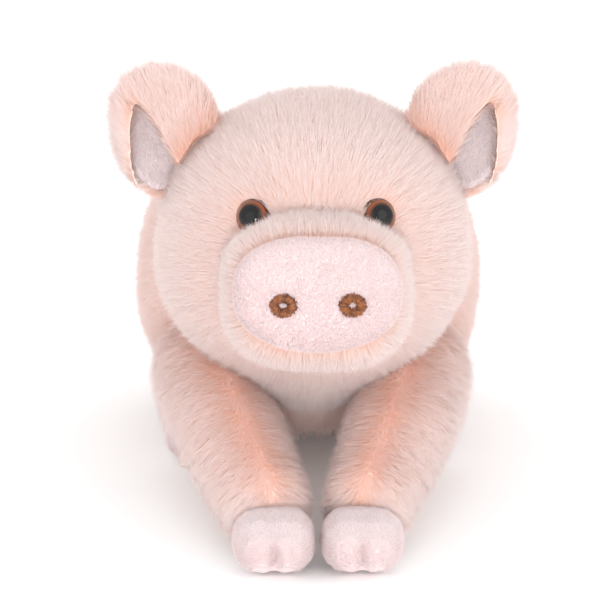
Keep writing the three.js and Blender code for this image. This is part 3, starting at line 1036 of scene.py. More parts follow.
@dataclass
class Groom:
    """What each vertex of a skin tells its fibres."""

    comb: np.ndarray  # the way they lie
    tone: np.ndarray  # 0 for the warm dye, 1 for the pale one; also lowered as painted shade in creases and raised as painted light under the chin and on the hooves' tops
    length: np.ndarray  # share of the pile's length
    cover: np.ndarray  # share of the pile's density

    def write(self, mesh: bpy.types.Mesh, panels: np.ndarray | None = None) -> None:
        """Stores the values on a skin.

        Args:
            mesh: the skin's mesh.
            panels: each face's sewn panel, or None where there is only one.
        """
        count = len(mesh.vertices)
        write_attribute(mesh, "comb", "FLOAT_VECTOR", self.comb)
        for name, values in (("tone", self.tone), ("pile", self.length), ("cover", self.cover)):
            write_attribute(mesh, name, "FLOAT", np.broadcast_to(values, count))
        faces = panels if panels is not None else np.zeros(len(mesh.polygons), np.int32)
        write_attribute(mesh, "panel", "INT", faces.astype(np.int32), on="FACE")


class Comber:
    """Grows fibres on skins with one Geometry Nodes tree."""

    # attributes that only the tree needs, so that no piece keeps them
    PASSING = ("comb", "tone", "pile", "cover", "panel", "hue", "facing", "along", "lengthwise", "across")
    SOFTNESS = 3.2  # how strongly a fibre's normal bends towards its backing's
    BROAD, FINE = 3.0, 2.0  # how strongly broad and fine tufts bend fibres
    FINER = 3.1  # how many times smaller the fine tufts are
    CLUMP = 3.0  # how many times more tones differ between tufts than within them
    ROLL = 0.4  # how far fibres roll round their own length
    WIDTH_SPREAD = 0.25  # share by which widths differ
    MARGIN = 0.01  # how far the fibres keep from their map's edge

    def __init__(self) -> None:
        """Builds the tree and the one fibre that it repeats."""
        self.fibre = self._fibre()
        self.tree = self._tree()

    @staticmethod
    def _fibre() -> bpy.types.Object:
        """One tapering fibre of unit length along Z: a ribbon with a low ridge towards Y.

        Returns:
            An object that no scene holds.
        """
        ridge = 0.14
        shape = [(0.0, ridge, 0.0), (-0.5, 0.0, 0.0), (0.5, 0.0, 0.0), (0.0, 0.0, 1.0)]
        mesh = bpy.data.meshes.new("fibre")
        mesh.from_pydata(shape, [], [[0, 1, 3], [2, 0, 3]])
        mesh.shade_smooth()
        write_attribute(mesh, "along", "FLOAT", np.array([0.0, 0.0, 0.0, 1.0]))
        return bpy.data.objects.new("fibre", mesh)

    def _tree(self) -> GeometryTree:
        """The tree that distributes, combs, sizes and realizes the fibres.

        Returns:
            The tree, which takes the skin and the numbers of a pile.
        """
        numbers = ("Density", "Length", "Width", "Lean", "Spread", "Tousle", "Tuft", "Tuft Size")
        inputs = {"Skin": "Geometry", "Fibre": "Object", "Panel": "Int"}
        inputs |= dict.fromkeys((*numbers, "Tone Spread"), "Float")
        t = GeometryTree("pile", inputs | {"Seed": "Int", "Material": "Material"})
        g = t.given
        chosen = t.node(
            "FunctionNodeCompare",
            {2: t.named("panel", "INT"), 3: g["Panel"]},
            data_type="INT",
            operation="EQUAL",
        )
        points = t.node(
            "GeometryNodeDistributePointsOnFaces",
            {
                "Mesh": g["Skin"],
                "Selection": chosen.outputs[0],
                "Density": t.sum("MULTIPLY", g["Density"], t.named("cover")),
                "Seed": g["Seed"],
            },
        )
        normal = points.outputs["Normal"]
        tufts, broad = self._tufts(t, 1.0)
        _, fine = self._tufts(t, self.FINER)
        parts = [
            t.vector("SCALE", normal, t.sum("SUBTRACT", 1.0, g["Lean"])),
            t.vector("SCALE", t.named("comb", "FLOAT_VECTOR"), g["Lean"]),
            t.vector("SCALE", broad, t.sum("MULTIPLY", g["Tuft"], self.BROAD)),
            t.vector("SCALE", fine, t.sum("MULTIPLY", g["Tuft"], self.FINE)),
            t.vector("SCALE", self._random(t, 1, vector=True), g["Tousle"]),
        ]
        direction = parts[0]
        for part in parts[1:]:
            direction = t.vector("ADD", direction, part)
        roll = t.vector("ADD", normal, t.vector("SCALE", self._random(t, 2, vector=True), self.ROLL))
        turn = t.node(
            "FunctionNodeAxesToRotation",
            {"Primary Axis": direction, "Secondary Axis": roll},
            primary_axis="Z",
            secondary_axis="Y",
        )
        longer = t.sum("MULTIPLY_ADD", self._random(t, 3), g["Spread"], 1.0)
        length = t.sum("MULTIPLY", t.sum("MULTIPLY", longer, g["Length"]), t.named("pile"))
        wider = t.sum("MULTIPLY_ADD", self._random(t, 4), self.WIDTH_SPREAD, 1.0)
        width = t.sum("MULTIPLY", wider, g["Width"])
        size = t.node("ShaderNodeCombineXYZ", {"X": width, "Y": width, "Z": length}).outputs[0]
        shade = t.sum("MULTIPLY", self._random(t, 5), g["Tone Spread"])
        share = t.sum("MULTIPLY", g["Tone Spread"], self.CLUMP)
        clump = t.sum("MULTIPLY", t.sum("SUBTRACT", tufts, 0.5), share)
        hue = t.sum("ADD", t.sum("ADD", t.named("tone"), shade), clump)
        limits = {"Min": self.MARGIN, "Max": 1 - self.MARGIN}
        bounded = t.node("ShaderNodeClamp", {"Value": hue} | limits).outputs[0]
        toned = t.store(points.outputs["Points"], "hue", bounded)
        toned = t.store(toned, "facing", normal, "FLOAT_VECTOR")
        fibre = t.node("GeometryNodeObjectInfo", {"Object": g["Fibre"]}).outputs["Geometry"]
        planted = t.node(
            "GeometryNodeInstanceOnPoints",
            {"Points": toned, "Instance": fibre, "Rotation": turn.outputs[0], "Scale": size},
        )
        along = t.sum("MULTIPLY_ADD", t.named("along"), 1 - 2 * self.MARGIN, self.MARGIN)
        where = t.node("ShaderNodeCombineXYZ", {"X": t.named("hue"), "Y": along}).outputs[0]
        mapped = t.store(t.realized(planted.outputs[0]), UV, where, "FLOAT2", "CORNER")
        soft = t.node(
            "GeometryNodeSetMeshNormal",
            {"Mesh": mapped, "Custom Normal": self._soft_normal(t)},
            mode="FREE",
            domain="CORNER",
        )
        t.end(soft.outputs[0], g["Material"])
        return t

    @staticmethod
    def _tufts(t: GeometryTree, finer: float) -> tuple[bpy.types.NodeSocket, bpy.types.NodeSocket]:
        """Noise that fibres of one tuft share.

        Args:
            t: the tree.
            finer: how many times smaller than the tuft size its lumps are.

        Returns:
            The noise as a number from 0 to 1, and as a vector round zero.
        """
        place = t.node("GeometryNodeInputPosition").outputs[0]
        scale = t.sum("DIVIDE", finer, t.given["Tuft Size"])
        noises = t.node("ShaderNodeTexNoise", {"Vector": place, "Scale": scale, "Detail": 1.0}).outputs
        return noises[0], t.vector("SUBTRACT", noises["Color"], (0.5, 0.5, 0.5))

    @classmethod
    def _soft_normal(cls, t: GeometryTree) -> bpy.types.NodeSocket:
        """A fibre's shading normal, so that a coat reads as one soft surface.

        Args:
            t: the tree.

        Returns:
            The fibre's own normal, bent towards the backing's where it faces outwards.
        """
        flat = t.node("GeometryNodeInputNormal").outputs[0]
        side = t.node(
            "GeometryNodeFieldOnDomain", {"Value": flat}, data_type="FLOAT_VECTOR", domain="FACE"
        ).outputs[0]
        facing = t.named("facing", "FLOAT_VECTOR")
        product = t.node("ShaderNodeVectorMath", {0: side, 1: facing}, operation="DOT_PRODUCT")
        outward = t.sum("MAXIMUM", product.outputs["Value"], 0.0)
        bend = t.vector("SCALE", facing, t.sum("MULTIPLY", outward, cls.SOFTNESS))
        return t.vector("NORMALIZE", t.vector("ADD", side, bend))

    @staticmethod
    def _random(t: GeometryTree, step: int, vector: bool = False) -> bpy.types.NodeSocket:
        """A random value from -1 to 1 for each fibre.

        Args:
            t: the tree.
            step: which of the fibre's random values it is.
            vector: True for a vector, False for a number.

        Returns:
            The socket that holds the value.
        """
        seed = t.sum("ADD", t.given["Seed"], 100.0 * step)
        if vector:
            inputs = {0: (-1, -1, -1), 1: (1, 1, 1), "Seed": seed}
            return t.node("FunctionNodeRandomValue", inputs, data_type="FLOAT_VECTOR").outputs[0]
        inputs = {2: -1.0, 3: 1.0, "Seed": seed}
        return t.node("FunctionNodeRandomValue", inputs, data_type="FLOAT").outputs[1]

    def grow(
        self, name: str, skin: bpy.types.Object, pile: Pile, material: bpy.types.Material, panel: int
    ) -> bpy.types.Object:
        """Grows one panel's fibres as a piece.

        Args:
            name: the piece's name.
            skin: a skin whose mesh carries a groom.
            pile: how the fibres stand.
            material: the fibres' finish.
            panel: the number of the sewn panel.

        Returns:
            The fibres as one plain mesh object.
        """
        mesh = self.tree.apply(
            name,
            skin.data,
            {
                "Fibre": self.fibre,
                "Panel": panel,
                "Density": pile.density / MM**2,
                "Length": pile.length * MM,
                "Width": pile.width * MM,
                "Lean": pile.lean,
                "Spread": pile.spread,
                "Tousle": pile.tousle,
                "Tuft": pile.tuft,
                "Tuft Size": pile.tuft_size * MM,
                "Tone Spread": pile.tone_spread,
                "Seed": pile.seed + panel,
                "Material": material,
            },
        )
        for passing in self.PASSING:
            if passing in mesh.attributes:
                mesh.attributes.remove(mesh.attributes[passing])
        places = places_of(mesh)
        places[:, 2] = np.maximum(places[:, 2], FLOOR_CLEARANCE)
        move_to(mesh, places)
        made = put(name, mesh)
        LOG.info("%s: %d fibres", name, len(mesh.vertices) // len(self.fibre.data.vertices))
        return made


Form = PlumpForm | LimbForm


def nearest_gap(points: np.ndarray, forms: list[Form]) -> np.ndarray:
    """About how many millimetres each point lies outside the nearest form."""
    return np.min([form.gap(points) for form in forms], axis=0)


def creased(points: np.ndarray, forms: list[Form], width: float) -> np.ndarray:
    """How deep each point lies in a crease beside other forms: 1 at their surface, 0 a width away."""
    return 1.0 - smoothstep(0.0, width, nearest_gap(points, forms))


def outside(points: np.ndarray, forms: list[Form], depth: float = 6.0) -> np.ndarray:
    """One where a point shows, zero where it lies deeper than depth inside another form."""
    return smoothstep(-depth, -depth + COVER_FADE, nearest_gap(points, forms))


def off_floor(normals: np.ndarray) -> np.ndarray:
    """Zero on the flat that a piece rests on, one elsewhere."""
    return 1.0 - smoothstep(0.7, 0.95, -normals[:, 2])


def near_floor(points: np.ndarray) -> np.ndarray:
    """The share of its length that the pile keeps close to the floor."""
    return 0.3 + 0.7 * smoothstep(0.0, 10.0, points[:, 2])


def face_middles(mesh: bpy.types.Mesh) -> np.ndarray:
    """The middle of each face in millimetres.

    Args:
        mesh: the mesh.

    Returns:
        One row for each face.
    """
    flat = np.empty(3 * len(mesh.polygons))
    mesh.polygons.foreach_get("center", flat)
    return flat.reshape(-1, 3) / MM


@dataclass(frozen=True)
class Filling:
    """The uneven filling under a skin, in millimetres."""

    lump_size: float
    lump_height: float
    seed: float

    def press(self, skin: bpy.types.Object) -> None:
        """Pushes the filling's lumps out through a skin and lets it rest on the floor.

        Args:
            skin: the piece.
        """
        places = places_of(skin.data)
        rise = self.lump_height * lumps(places, self.lump_size, self.seed)
        places += normals_of(skin.data) * rise[:, None]
        places[:, 2] = np.maximum(places[:, 2], FLOOR_CLEARANCE)
        move_to(skin.data, places)


class Cloth(Enum):
    """The two sewn cloths, with their slot's name."""

    FUR = "fur"
    VELOUR = "velour"


class Workshop:
    """What every sub-assembly shares: the finishes, the comber and the rules for a sewn piece."""

    BACKING_DEPTH = 3.0  # mm that the backing lies inside the pile's dense surface

    def __init__(self) -> None:
        """Builds the finishes and the comber."""
        self.finishes = Wardrobe()
        self.comber = Comber()

    def sew(self, skin: bpy.types.Object, cloth: Cloth, nodes: list[str], fill: float, body: str) -> None:
        """Gives a padded skin its backing and its body, and hides the frame's nodes that it stands for.

        Args:
            skin: the piece.
            cloth: the cloth that it is sewn from.
            nodes: the frame's nodes that it stands for.
            fill: how firmly it is filled, from 0 to 1; not used.
            body: the body that it rides on.
        """
        fur = cloth is Cloth.FUR
        backing = self.finishes.fur_backing if fur else self.finishes.velour_backing
        skin.data.materials.clear()
        skin.data.materials.append(backing)
        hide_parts(*nodes)
        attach(skin, body)
        LOG.info("%s: %d faces, stands for %s", skin.name, len(skin.data.polygons), ", ".join(nodes))

    def coat(
        self, name: str, skin: bpy.types.Object, pile: Pile, cloth: Cloth, body: str, panel: int = 0
    ) -> None:
        """Grows a coat of fur or velour on a skin.

        Args:
            name: the coat's name.
            skin: the skin, whose mesh carries a groom.
            pile: how the fibres stand.
            cloth: the cloth that the skin is sewn from.
            body: the body that the coat rides on.
            panel: the number of the sewn panel.
        """
        material = self.finishes.fur if cloth is Cloth.FUR else self.finishes.velour
        made = self.comber.grow(name, skin, pile, material, panel)
        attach(made, body)


# Sub-assemblies


@dataclass
class Torso:
    """The body: one padded skin under six sewn fur panels."""

    shop: Workshop
    panels: tuple[str, ...] = ("breast", "back_left", "back_right", "flank_left", "flank_right", "rump")
    pile: Pile = TORSO_FUR
    filling: Filling = Filling(34.0, 1.6, 3.1)
    breast_end: float = -62.0
    rump_start: float = 55.0
    back_level: float = 80.0

    def build(self) -> None:
        """Makes the skin and its coat."""
        skin = TORSO.skin("torso_skin", -self.shop.BACKING_DEPTH)
        self.filling.press(skin)
        mesh = skin.data
        places, normals = places_of(mesh), normals_of(mesh)
        legs = [foreleg_form(side) for side in Side] + [hind_leg_form(side) for side in Side]
        cover = outside(places, [HEAD]) * outside(places, legs) * off_floor(normals)
        comb = along_surface(BACKWARDS + 0.7 * DOWNWARDS, normals)
        crease = creased(places, [HEAD, *legs], 22.0)
        low = 1 - smoothstep(5.0, 40.0, places[:, 2])
        # painted shade: the tone falls towards the warm dye in the creases beside the head and legs, and a
        # little near the floor
        tone = 0.4 - 0.24 * crease - 0.06 * low
        length = (1.0 - 0.15 * crease) * near_floor(places)
        Groom(comb, tone, length, cover).write(mesh, self._panels(mesh))
        self.shop.sew(skin, Cloth.FUR, ["torso_cover", "torso_stuffing"], 0.85, "torso")
        for number, panel in enumerate(self.panels):
            self.shop.coat(f"torso_fur_{panel}", skin, self.pile, Cloth.FUR, "torso", number)

    def _panels(self, mesh: bpy.types.Mesh) -> np.ndarray:
        """Each face's panel number.

        Args:
            mesh: the skin's mesh.

        Returns:
            One number for each face.
        """
        x, y, z = face_middles(mesh).T
        left = (x > 0).astype(int)
        panel = np.where(z > self.back_level, 2 - left, 4 - left)
        panel = np.where(y > self.rump_start, 5, panel)
        return np.where(y < self.breast_end, 0, panel)


@dataclass
class Head:
    """The head: one padded skin under five sewn fur panels."""

    shop: Workshop
    panels: tuple[str, ...] = ("crown", "cheek_left", "cheek_right", "chin", "nape")
    pile: Pile = HEAD_FUR
    filling: Filling = Filling(30.0, 1.2, 7.7)
    cheek_slope: float = 0.9  # height to width of the lines that bound the cheeks
    nape_start: float = 18.0  # mm behind the head's middle

    def build(self) -> None:
        """Makes the skin and its coat."""
        skin = HEAD.skin("head_skin", -self.shop.BACKING_DEPTH)
        self.filling.press(skin)
        mesh = skin.data
        places, normals = places_of(mesh), normals_of(mesh)
        rear = smoothstep(-0.1, 0.7, normals[:, 1])[:, None]
        comb = along_surface(BACKWARDS + 1.6 * rear * DOWNWARDS, normals)
        for side in Side:
            ear = ear_form(side)
            near = creased(places, [ear], 12.0)[:, None]
            comb = unit(comb + 1.1 * near * unit(np.array(ear.centre) - places))
        muzzle_shade = creased(places, [MUZZLE], 14.0)
        crease = creased(places, [TORSO], 18.0)
        cover = outside(places, [TORSO]) * outside(places, [MUZZLE], 9.0) * self.eye_room(places, 6.0, 8.5)
        low = 1 - smoothstep(50.0, 75.0, places[:, 2])
        # painted shade: the tone falls in the creases beside the body and the muzzle; painted light: it
        # rises low on the head, round the chin, which lies in shade
        tone = 0.74 - 0.2 * crease - 0.12 * muzzle_shade + 0.12 * low
        length = 1.0 - 0.35 * creased(places, [MUZZLE], 20.0)
        Groom(comb, tone, length, cover).write(mesh, self._panels(mesh))
        self.shop.sew(skin, Cloth.FUR, ["head_cover", "head_stuffing"], 0.9, "head")
        for number, panel in enumerate(self.panels):
            self.shop.coat(f"head_fur_{panel}", skin, self.pile, Cloth.FUR, "head", number)

    @staticmethod
    def eye_room(places: np.ndarray, near: float, far: float) -> np.ndarray:
        """Room round the eyes.

        Args:
            places: points in millimetres.
            near: the distance from an eye's seat up to which the room is 0.
            far: the distance from which it is 1.

        Returns:
            A share from 0 to 1 for each point.
        """
        away = np.min([np.linalg.norm(places - EyeSeat.on(side).base, axis=1) for side in Side], axis=0)
        return smoothstep(near, far, away)

    def _panels(self, mesh: bpy.types.Mesh) -> np.ndarray:
        """Each face's panel number.

        Args:
            mesh: the skin's mesh.

        Returns:
            One number for each face.
        """
        x, y, z = (face_middles(mesh) - np.array(HEAD.centre)).T
        bound = np.abs(x) * self.cheek_slope
        panel = np.where(x > 0, 1, 2)
        panel = np.where(z > bound, 0, panel)
        panel = np.where(z < -bound, 3, panel)
        return np.where(y > self.nape_start, 4, panel)


@dataclass(frozen=True)
class EyeSeat:
    """Where an eye sits, in millimetres, and the way it looks."""

    base: np.ndarray
    look: np.ndarray

    @staticmethod
    def on(side: Side) -> "EyeSeat":
        """The seat on one side of the head, let into the pile.

        Args:
            side: the side of the head.

        Returns:
            The seat.
        """
        let_in = 2.6
        place = EyeSeat._direction(side, 25.5, 23.5)
        look = EyeSeat._direction(side, 18.0, 16.0)
        surface = HEAD.surface(place[None, :])[0]
        return EyeSeat(surface - let_in * look, look)

    @staticmethod
    def _direction(side: Side, out: float, up: float) -> np.ndarray:
        """A direction from the head's middle.

        Args:
            side: the eye's side.
            out: degrees outwards from straight ahead.
            up: degrees upwards.

        Returns:
            The unit vector.
        """
        o, u = math.radians(out), math.radians(up)
        return np.array([side.value * math.sin(o) * math.cos(u), -math.cos(o) * math.cos(u), math.sin(u)])


@dataclass
class Eyes:
    """Two safety eyes, each a glossy dome on a rim, with the washer behind the cover."""

    shop: Workshop
    radius: float = 7.0
    dome: float = 5.2
    rim: float = 1.2
    shank: float = 2.2
    shank_length: float = 11.0
    around: int = 48
    dome_steps: int = 15

    def build(self) -> None:
        """Makes both eyes."""
        for side in Side:
            eye = self._eye(side)
            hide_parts(f"eye_{side.word}")
            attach(eye, "head")
            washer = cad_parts[f"eye_washer_{side.word}"]
            washer.data.materials.clear()
            washer.data.materials.append(self.shop.finishes.washer)
            LOG.info("%s: %d faces", eye.name, len(eye.data.polygons))

    def _profile(self) -> list[tuple[float, float]]:
        """The eye's outline, from the shank's end to the top of the dome, as radius and height.

        Returns:
            Pairs of radius and height in millimetres.
        """
        line = [(self.shank * 0.84, -self.shank_length), (self.shank, -self.shank_length + 1.2)]
        line += [(self.shank, -self.rim), (self.radius - 0.5, -self.rim), (self.radius, -self.rim * 0.6)]
        line += [(self.radius, -0.1), (self.radius - 0.12, 0.25), (self.radius * 0.93, 0.5)]
        for i in range(1, self.dome_steps):
            turn = math.pi / 2 * i / self.dome_steps
            line.append((self.radius * 0.93 * math.cos(turn), 0.5 + (self.dome - 0.5) * math.sin(turn)))
        return line

    def _eye(self, side: Side) -> bpy.types.Object:
        """One eye.

        Args:
            side: the side of the head that it sits on.

        Returns:
            A closed turned form, with its map looking down the axis.
        """
        seat = EyeSeat.on(side)
        right = unit(np.cross([0.0, 0.0, 1.0], seat.look))
        over = np.cross(seat.look, right)
        line = self._profile()
        places, faces = [seat.base - self.shank_length * seat.look], []
        flat = [(0.5, 0.5)]
        for radius, height in line:
            for j in range(self.around):
                turn = 2 * math.pi * j / self.around
                ray = right * math.cos(turn) + over * math.sin(turn)
                places.append(seat.base + height * seat.look + radius * ray)
                share = radius / self.radius / 2
                flat.append((0.5 + share * math.cos(turn), 0.5 + share * math.sin(turn)))
        places.append(seat.base + self.dome * seat.look)
        flat.append((0.5, 0.5))
        last = len(line) - 1

        def at(ring: int, step: int) -> int:
            """The number of a vertex on a ring."""
            return 1 + ring * self.around + step % self.around

        for j in range(self.around):
            faces.append([0, at(0, j + 1), at(0, j)])
            faces.append([at(last, j), at(last, j + 1), len(places) - 1])
            faces += [[at(i, j), at(i, j + 1), at(i + 1, j + 1), at(i + 1, j)] for i in range(last)]
        eye = mesh_object(f"safety_eye_{side.word}", np.array(places), faces)
        layer = eye.data.uv_layers.new(name=UV)
        corners = np.empty(len(eye.data.loops), np.int32)
        eye.data.loops.foreach_get("vertex_index", corners)
        layer.data.foreach_set("uv", np.array(flat)[corners].ravel())
        eye.data.materials.append(self.shop.finishes.eye)
        return eye


@dataclass
class Snout:
    """The fur roll, the velour disc let into it, and the two embroidered nostrils."""

    shop: Workshop
    roll_pile: Pile = MUZZLE_FUR
    roll_filling: Filling = Filling(20.0, 0.8, 5.5)
    roll_depth: float = 4.0  # mm that the roll's backing lies inside its form
    nap: Pile = VELOUR_NAP
    disc_filling: Filling = Filling(16.0, 0.35, 2.2)
    disc_depth: float = 0.6  # mm that the disc's backing lies inside its form

    def build(self) -> None:
        """Makes the roll, the disc and the nostrils."""
        self._roll()
        self._disc()
        for side in Side:
            Nostril(self.shop, side).build()

    def _roll(self) -> None:
        """The fur roll round the disc."""
        skin = MUZZLE.skin("muzzle_skin", -self.roll_depth)
        self.roll_filling.press(skin)
        mesh = skin.data
        places, normals = places_of(mesh), normals_of(mesh)
        comb = along_surface(BACKWARDS, normals)
        front = 1.0 - smoothstep(0.0, 9.0, DISC.gap(places))
        cover = outside(places, [HEAD]) * smoothstep(-1.5, 0.5, self._disc_edge(places))
        tone = 0.72 - 0.3 * front
        length = (1.0 - 0.3 * front) * (0.4 + 0.6 * Head.eye_room(places, 9.0, 19.0))
        Groom(comb, tone, length, cover).write(mesh)
        self.shop.sew(skin, Cloth.FUR, ["muzzle_gusset"], 0.9, "head")
        self.shop.coat("muzzle_fur", skin, self.roll_pile, Cloth.FUR, "head")

    @staticmethod
    def _disc_edge(places: np.ndarray) -> np.ndarray:
        """About how many millimetres points lie outside the disc's outline.

        Args:
            places: points in millimetres.

        Returns:
            The distance seen from the front, which also grows behind the disc.
        """
        flat = places.copy()
        flat[:, 1] = DISC.centre[1]
        return DISC.gap(flat) * 0.9 + np.maximum(places[:, 1] - DISC.centre[1] - 4.0, 0.0)

    def _disc(self) -> None:
        """The velour disc."""
        skin = DISC.skin("snout_disc_skin", -self.disc_depth)
        self.disc_filling.press(skin)
        mesh = skin.data
        places, normals = places_of(mesh), normals_of(mesh)
        comb = along_surface(np.array([0.3, 1.0, 0.8]), normals)
        tone = 0.2 + 0.12 * lumps(places, 7.0, 9.1)
        cover = smoothstep(-0.6, 0.2, -places[:, 1] + DISC.centre[1])
        Groom(comb, tone, np.ones(len(places)), cover).write(mesh)
        self.shop.sew(skin, Cloth.VELOUR, ["snout_disc"], 0.8, "head")
        self.shop.coat("snout_disc_nap", skin, self.nap, Cloth.VELOUR, "head")


@dataclass
class Nostril:
    """A satin-stitched ring: threads laid side by side across a low roll."""

    shop: Workshop
    side: Side
    spacing: float = 26.0
    width: float = 10.4
    height: float = 8.6
    drop: float = 2.6
    roll: float = 1.75
    padding: float = 0.86  # the padding's share of the roll's radius
    thread: float = 0.3  # its radius
    threads: int = 36

    def build(self) -> None:
        """Makes the ring's roll and its threads."""
        middle = self._middle()
        path = [self._on_ring(middle, 2 * math.pi * i / self.threads) for i in range(self.threads)]
        mesh = self._tree().apply(
            f"nostril_satin_{self.side.word}",
            self._ring_mesh(path),
            {
                "Roll": self.roll * MM,
                "Thread": self.thread * MM,
                "Seed": 5 + self.side.value,
                "Material": self.shop.finishes.thread,
            },
        )
        made = put(f"nostril_satin_{self.side.word}", mesh)
        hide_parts(f"nostril_stitching_{self.side.word}")
        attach(made, "head")
        LOG.info("%s: %d faces", made.name, len(mesh.polygons))

    def _middle(self) -> np.ndarray:
        """The ring's middle on the disc's face.

        Returns:
            The point in millimetres.
        """
        x = self.side.value * self.spacing / 2
        p = DISC.round_down
        rise = (abs(x) / DISC.side) ** p + (self.drop / DISC.down) ** p
        y = DISC.front * (1 - rise) ** (1 / p)
        return np.array([x, DISC.centre[1] - y - 0.2, DISC.centre[2] - self.drop])

    def _on_ring(self, middle: np.ndarray, turn: float) -> np.ndarray:
        """A point on the roll's middle line.

        Args:
            middle: the ring's middle.
            turn: the angle round it.

        Returns:
            The point in millimetres.
        """
        radius = self.width / 2 - self.roll
        squash = self.height / self.width
        return middle + radius * np.array([math.cos(turn), 0.0, squash * math.sin(turn)])

    @staticmethod
    def _ring_mesh(path: list[np.ndarray]) -> bpy.types.Mesh:
        """The closed line that the threads are laid on.

        Args:
            path: its points in millimetres.

        Returns:
            A mesh of edges only.
        """
        mesh = bpy.data.meshes.new("ring_line")
        count = len(path)
        edges = [(i, (i + 1) % count) for i in range(count)]
        mesh.from_pydata([tuple(p * MM) for p in path], edges, [])
        return mesh

    def _tree(self) -> GeometryTree:
        """Threads across the line, each a ring round it, and the padding beneath them.

        Returns:
            The tree, which takes the line and the sizes.
        """
        t = GeometryTree(
            "satin_stitch",
            {"Line": "Geometry", "Roll": "Float", "Thread": "Float", "Seed": "Int", "Material": "Material"},
        )
        g = t.given

        def circle(points: int, radius: bpy.types.NodeSocket) -> bpy.types.NodeSocket:
            """A circle of that many points."""
            inputs = {"Resolution": points, "Radius": radius}
            return t.node("GeometryNodeCurvePrimitiveCircle", inputs).outputs[0]

        def tube(line: bpy.types.NodeSocket, section: bpy.types.NodeSocket) -> bpy.types.NodeSocket:
            """A line made thick."""
            return t.node("GeometryNodeCurveToMesh", {"Curve": line, "Profile Curve": section}).outputs[0]

        curve = t.node("GeometryNodeMeshToCurve", {"Mesh": g["Line"]}).outputs[0]
        under = tube(curve, circle(14, t.sum("MULTIPLY", g["Roll"], self.padding)))
        loop = tube(circle(16, g["Roll"]), circle(6, g["Thread"]))
        spots = t.node("GeometryNodeCurveToPoints", {"Curve": curve}, mode="EVALUATED")
        seed = g["Seed"]
        wobble = t.node(
            "FunctionNodeRandomValue",
            {0: (-0.2, -0.3, -0.3), 1: (0.2, 0.3, 0.3), "Seed": seed},
            data_type="FLOAT_VECTOR",
        ).outputs[0]
        turned = t.node(
            "FunctionNodeRotateRotation",
            {"Rotation": spots.outputs["Rotation"], "Rotate By": wobble},
            rotation_space="LOCAL",
        ).outputs[0]
        sizes = {2: 0.86, 3: 1.1, "Seed": seed}
        size = t.node("FunctionNodeRandomValue", sizes, data_type="FLOAT").outputs[1]
        threads = t.node(
            "GeometryNodeInstanceOnPoints",
            {"Points": spots.outputs["Points"], "Instance": loop, "Rotation": turned, "Scale": size},
        ).outputs[0]
        joined = t.node("GeometryNodeJoinGeometry")
        t.tree.links.new(under, joined.inputs[0])
        t.tree.links.new(threads, joined.inputs[0])
        t.end(t.realized(joined.outputs[0]), g["Material"])
        return t


